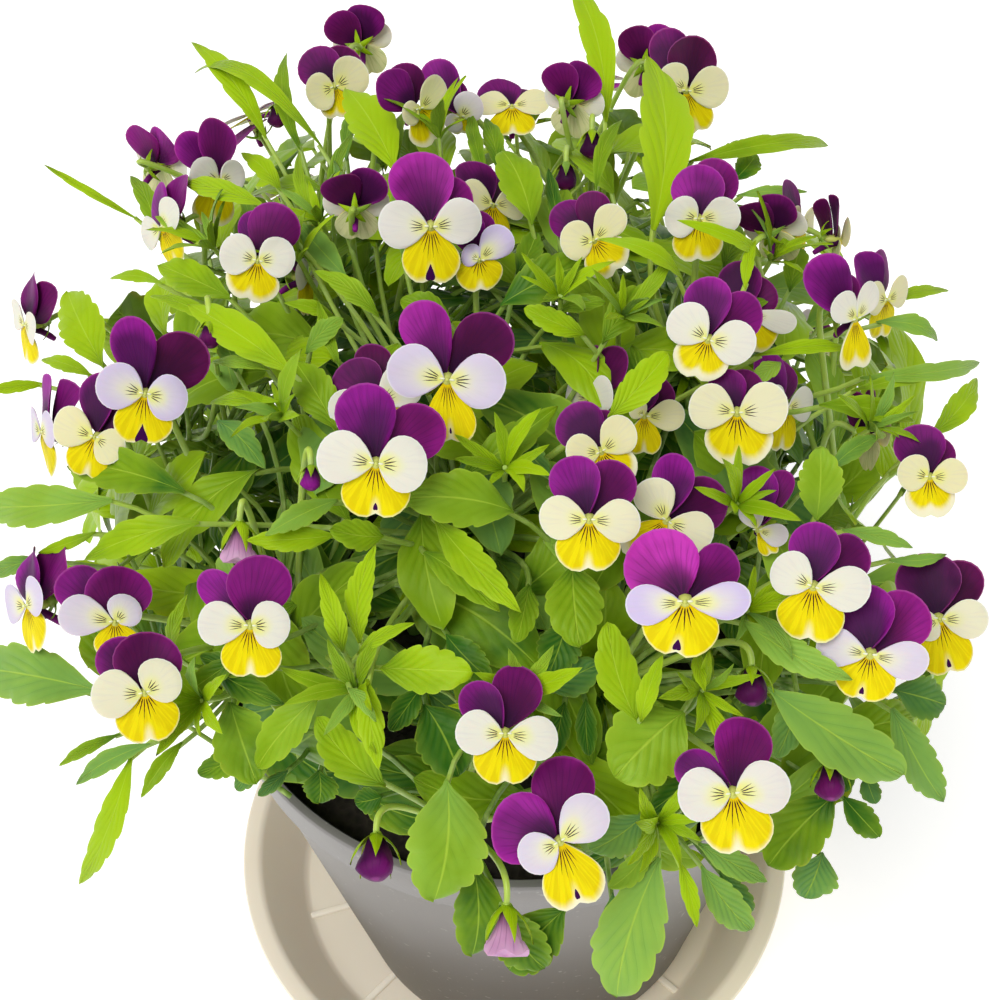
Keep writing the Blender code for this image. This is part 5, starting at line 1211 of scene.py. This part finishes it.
below = calc("DIVIDE", calc("SUBTRACT", along, 0.86), 0.20)
spot = value_of(shader, "spot")
mark = calc("LESS_THAN", plus(times(aside, aside), times(below, below)), times(spot, spot))
paint(shader, mixed(mark, tint, (0.040, 0.003, 0.060)))

# The backs of the pale petals: greenish, greener towards the spur
petal_back, shader, place, across, along, veins = petal_surface("petal_back", 0.5, 0.1)
tint = mixed(ramp(veins, 0.45, 0.65), (0.66, 0.66, 0.36), (0.52, 0.55, 0.26))
paint(shader, mixed(ramp(along, 0.1, 0.6, 0.6, 0), tint, (0.44, 0.56, 0.14)))

throat_green, shader = surface("throat_green", 0.5)
shader.inputs["Base Color"].default_value = (0.56, 0.60, 0.13, 1)
beard_white, shader = surface("beard_white", 0.7)
shader.inputs["Base Color"].default_value = (0.80, 0.82, 0.60, 1)
PETAL_LOOKS = (petal_upper, petal_side, petal_lower, throat_green, beard_white, petal_back)
PETAL_BACKS = (0, 1, 5)


def facing(at, right, ahead, turn, nod, roll):
    """A frame at a point: X to the right, Z ahead, where a bloom looks, then turned, nodded and rolled."""
    side = (right - ahead * right.dot(ahead)).normalized()
    placed = Matrix((side, ahead.cross(side), ahead)).transposed()
    turns = Matrix.Rotation(math.radians(turn), 3, "Y") @ Matrix.Rotation(math.radians(nod), 3, "X")
    placed = placed @ turns @ Matrix.Rotation(math.radians(roll), 3, "Z")
    return Matrix.Translation(at) @ placed.to_4x4()


def moved(points, placed):
    """Points moved from a frame's own place to where it stands."""
    turn = np.array(placed.to_3x3())
    return points @ turn.T + np.array(placed.translation)


def fan_width(spread, round_off):
    """How wide a petal of a spread is, as a share of its length."""
    turn = np.linspace(0, spread, 60)
    return 2 * (np.clip(np.cos(turn * math.pi / 2 / spread), 0, 1) ** round_off * np.sin(turn)).max()


def as_seen(kind, placed, size, tip):
    """A petal reshaped to end at a pixel of the photograph, and to be as wide as it is there."""
    normal = placed.col[2].xyz
    ray = picture_ray(tip[:2])
    depth = (placed.translation - EYE).dot(normal) / ray.dot(normal)
    end = placed.inverted() @ (EYE + depth * ray)
    length = max(end.xy.length / size - kind.start, 0.2)
    width = tip[2] * depth / VIEW_FOCAL / (length * size)
    spreads = range(16, 84, 2)
    widths = [fan_width(math.radians(spread), kind.round) for spread in spreads]
    angle = math.degrees(math.atan2(end.y, end.x))
    return kind._replace(angle=angle, length=length, spread=float(np.interp(width, widths, spreads)))


def petal(skin, placed, size, kind, **values):
    """Adds a petal: a fan of points round its root, rounded at the end, cupped, curled and waved."""
    length, spread = kind.length * size, math.radians(kind.spread)
    v, s = np.mgrid[0 : 1 : PETAL_ROWS * 1j, -1 : 1 : PETAL_COLUMNS * 1j]
    turn = spread * np.sin(s * math.pi / 2)
    reach = np.clip(np.cos(turn * math.pi / 2 / spread), 0, 1) ** kind.round
    reach = reach * (1 - kind.notch * np.exp(-((turn / 0.13) ** 2)))
    for swell, lobes in ((0.025, rng.uniform(1.5, 3)), (0.014, rng.uniform(4, 7))):
        reach = reach * (1 + swell * np.sin(lobes * s + rng.uniform(0, math.tau)))
    v = v ** 0.85
    along, across = v * reach * np.cos(turn), v * reach * np.sin(turn)
    depth = kind.wave * rng.uniform(0.4, 1)
    wave = depth * v**3 * np.sin(turn * rng.uniform(3.5, 7) + rng.uniform(0, math.tau))
    rise = kind.curl * rng.uniform(0.3, 1.3) * along**2 + kind.cup * rng.uniform(0.3, 1.4) * across**2
    rise = rise + wave + rng.uniform(-0.10, 0.10) * along * across
    angle = math.radians(kind.angle + rng.uniform(-2.5, 2.5))
    tilt = math.radians(kind.tilt + rng.uniform(-3, 3))
    level = np.array((math.cos(angle), math.sin(angle), 0))
    ahead = math.cos(tilt) * level + np.array((0, 0, math.sin(tilt)))
    side = np.array((math.sin(angle), -math.cos(angle), 0))
    normal = np.cross(side, ahead)
    grid = along[..., None] * ahead + across[..., None] * side + rise[..., None] * normal
    grid = grid * length + np.array((0, 0, kind.depth * size)) + ahead * kind.start * size
    grid[0] = grid[0].mean(axis=0)
    places = np.stack([0.5 + turn / spread / 2, v], axis=-1)
    sheet(skin, moved(grid, placed), places, PETAL_THICKNESS, kind.slot, PETAL_BACKS[kind.slot], **values)


def bulb(skin, placed, middle, radii, slot, **values):
    """Adds a rounded body of three half widths."""
    v, u = np.mgrid[0 : math.pi : 6j, 0 : math.tau : 9j]
    grid = np.stack([np.sin(v) * np.cos(u), np.sin(v) * np.sin(u), -np.cos(v)], axis=-1) * np.array(radii)
    grid[:, -1], grid[0], grid[-1] = grid[:, 0], (0, 0, -radii[2]), (0, 0, radii[2])
    places = np.stack([u / math.tau, v / math.pi], axis=-1)
    skin.cover(moved(grid + np.array(middle), placed), places, slot, **values)


def bloom_piece(name, placed, size, looks):
    """A bloom, with its throat, beard and spur."""
    skin = Skin(*PETAL_VALUES)
    right_side, rear, front, left_side, lower = PETALS
    kinds = [front, rear, left_side, right_side, lower]
    if looks.front == "right":
        kinds[:2] = rear._replace(angle=front.angle), front._replace(angle=rear.angle)
    for i, tip in enumerate(looks.tips):
        kinds[i] = as_seen(kinds[i], placed, size, tip)
    petal(skin, placed, size, kinds[0], shade=looks.left)
    petal(skin, placed, size, kinds[1], shade=looks.right, wine=1)
    petal(skin, placed, size, kinds[2], lilac=looks.lilac)
    petal(skin, placed, size, kinds[3], lilac=looks.lilac)
    petal(skin, placed, size, kinds[4], spot=looks.spot, pale=looks.pale)
    bulb(skin, placed, (0, 0.008 * size, 0.040 * size), (0.020 * size, 0.024 * size, 0.024 * size), 3)
    for side in (-1, 1):
        middle = (side * 0.042 * size, 0.012 * size, 0.052 * size)
        bulb(skin, placed, middle, (0.026 * size, 0.011 * size, 0.010 * size), 4)
    bulb(skin, placed, (0, 0, -0.09 * size), (0.07 * size, 0.07 * size, 0.14 * size), 3)
    spur = [Vector((0, -0.03, 0)), Vector((0, -0.1, -0.2)), Vector((0, -0.24, -0.36))]
    path = curve([placed @ (point * size) for point in spur], 6)
    tube(skin, path, size * np.array((0.06, 0.055, 0.05, 0.045, 0.045, 0.045, 0.035)), 8, shade=0.4)
    return skin.piece(name, PETAL_LOOKS)


# Each flower's stalk rises from a shoot and hooks over to the bloom's back, into five pointed green sepals
STALK_RADIUS = 0.75 * MM
STALK_LENGTH = 42 * MM
CALYX_HEIGHT = 0.03
CALYX_DEPTH = 0.25
HOOK_DEPTH = 0.42
SEPAL_COUNT = 5
SEPAL_THICKNESS = 0.25 * MM
SEPAL_OUTLINE = ((0, 0.2, 0.45, 0.8, 1), (0.7, 1, 0.9, 0.4, 0))


def stalk(placed, size, tone, sepal_length=0.30, sepal_spread=1.0, sepal_width=0.09):
    """Adds a flower's stalk and sepals to the stem they grow on, and says which stem that is."""
    at, turned_so = placed.translation, placed.to_3x3()
    down = (outward(at) * 0.6 + Vector((0, 0, 0.4))).normalized()
    target = at - STALK_LENGTH * down
    stem, root = min(nodes, key=lambda node: (node[1] - target).length)
    calyx = placed @ (Vector((0, CALYX_HEIGHT, -CALYX_DEPTH)) * size)
    hook = placed @ (Vector((0, CALYX_HEIGHT + 0.10, -HOOK_DEPTH - 0.1)) * size)
    reach = (hook - root).length
    above = hook + Vector((0, 0, 0.10 * reach)) - (at - hook).normalized() * 0.12 * reach
    path = curve([root, root.lerp(above, 0.55) + outward(root) * 0.06 * reach, above, hook, calyx], 16)
    tube(stems[stem], path, STALK_RADIUS * np.linspace(1.1, 0.95, 17), sides=7, tone=tone)
    for i in range(SEPAL_COUNT):
        angle = math.radians(90) + math.tau * i / SEPAL_COUNT
        across = sepal_spread * Vector((math.cos(angle), math.sin(angle), 0))
        way = (turned_so @ (across + Vector((0, 0, 0.55 / max(sepal_spread, 0.4))))).normalized()
        start = calyx - turned_so @ Vector((0, 0, 0.04 * size))
        blade(
            leaves[stem], start, start + way * sepal_length * size, sepal_width * size, 0.12, tone + 0.1,
            (8, 2), 0, fold=-0.25, up=-(turned_so @ Vector((0, 0, 1))), thickness=SEPAL_THICKNESS,
            outline=SEPAL_OUTLINE,
        )
    middle = (0, CALYX_HEIGHT * size, -CALYX_DEPTH * size)
    bulb(stems[stem], placed, middle, (0.075 * size,) * 3, 0, tone=tone)
    return stem


for looks in BLOOMS:
    at, depth = on_dome(looks.at, looks.lift * MM)
    size = min(max(looks.span * depth / VIEW_FOCAL, BLOOM_SMALLEST), BLOOM_LARGEST)
    placed = facing(at, RIGHT, (EYE - at).normalized(), looks.turn, looks.nod, looks.roll)
    piece = bloom_piece(f"flower_{looks.name}", placed, size, looks)
    stem = stalk(placed, size, 0.75)
    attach(piece, "root")
    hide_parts(f"bloom_{looks.name}" if looks.own else f"leafy_stem_{stem}")
for name, bearing, height in FAR_BLOOMS:
    direction = direction_at(bearing, height)
    ahead = (direction + Vector((0, 0, FAR_BLOOM_LIFT))).normalized()
    roll = rng.uniform(-FAR_BLOOM_ROLL, FAR_BLOOM_ROLL)
    placed = facing(dome_point(direction), Vector((0, 0, 1)).cross(direction), ahead, 0, 0, roll)
    left, right, lilac = rng.uniform(0.2, 0.8), rng.uniform(0.3, 0.9), rng.random()
    looks = Bloom("far", None, None, left=left, right=right, lilac=lilac)
    piece = bloom_piece(f"flower_far_{name}", placed, FAR_BLOOM_WIDTH, looks)
    stalk(placed, FAR_BLOOM_WIDTH, 0.7)
    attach(piece, "root")
    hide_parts(f"bloom_far_{name}")


# The buds and the spent blooms: rolled petals, each nodding on its hooked stalk in long narrow sepals. Each
# was read in the photograph: where it hangs and how wide it is, in pixels, how many millimetres it
# stands off the dome, and how dark it is. A spent one, ragged and faded, is below 0
Bud = namedtuple("Bud", "at span lift shade", defaults=(0.9,))
BUDS = (
    Bud(at=(210, 330), span=24, lift=-6),
    Bud(at=(311, 474), span=22, lift=-8, shade=0.5),
    Bud(at=(752, 680), span=34, lift=-8),
    Bud(at=(830, 776), span=32, lift=-4),
    Bud(at=(376, 850), span=40, lift=-16, shade=0.8),
    Bud(at=(506, 922), span=40, lift=-4, shade=-1),
    Bud(at=(239, 535), span=34, lift=-12, shade=-1),
    Bud(at=(277, 112), span=20, lift=-10),
    Bud(at=(592, 140), span=24, lift=-18),
    Bud(at=(566, 172), span=24, lift=-24),
)
BUD_NOD = 62
SPENT_NOD = 86
SPENT_ROLL = -18
BUD_SCALE = 1.6
BUD_PROFILE = ((-0.30, -0.16, 0.0, 0.18, 0.34, 0.46, 0.53), (0.04, 0.13, 0.20, 0.27, 0.29, 0.21, 0.03))
SPENT_PROFILE = ((-0.30, -0.10, 0.20, 0.42, 0.50, 0.51, 0.53), (0.05, 0.12, 0.24, 0.34, 0.37, 0.30, 0.03))
for number, bud in enumerate(BUDS):
    at, depth = on_dome(bud.at, bud.lift * MM)
    size = BUD_SCALE * bud.span * depth / VIEW_FOCAL
    spent = bud.shade < 0
    nod, roll = (SPENT_NOD, SPENT_ROLL) if spent else (BUD_NOD, 0)
    placed = facing(at, RIGHT, (EYE - at).normalized(), 0, nod, roll)
    v, u = np.mgrid[-0.30:0.53:14j, 0 : math.tau : 25j]
    radius = np.interp(v, *(SPENT_PROFILE if spent else BUD_PROFILE)) * (1 + 0.10 * np.cos(3 * u + 9 * v))
    ragged = v + (0.05 * np.cos(5 * u) * (v > 0.3) if spent else 0)
    flat = 0.55 if spent else 0.9
    grid = np.stack([radius * np.cos(u), flat * radius * np.sin(u) + CALYX_HEIGHT, ragged], axis=-1) * size
    grid[:, -1], grid[0], grid[-1] = grid[:, 0], grid[0].mean(axis=0), grid[-1].mean(axis=0)
    skin = Skin(*PETAL_VALUES)
    places = np.stack([u / math.tau, (v + 0.3) / 0.83], axis=-1)
    skin.cover(moved(grid, placed), places, 0, shade=bud.shade)
    piece = skin.piece(f"bud_{number}", PETAL_LOOKS)
    stem = stalk(placed, size, 1.0, sepal_length=0.75, sepal_spread=0.6, sepal_width=0.22)
    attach(piece, "root")
    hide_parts(f"leafy_stem_{stem}")

for stem, skin in enumerate(leaves):
    piece = skin.piece(f"leaves_{stem}", (leaf_top, leaf_under))
    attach(piece, "root")
    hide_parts(f"leafy_stem_{stem}")

for stem, skin in enumerate(stems):
    piece = skin.piece(f"green_{stem}", (stem_green,))
    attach(piece, "root")
    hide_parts(f"leafy_stem_{stem}")

low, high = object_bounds()
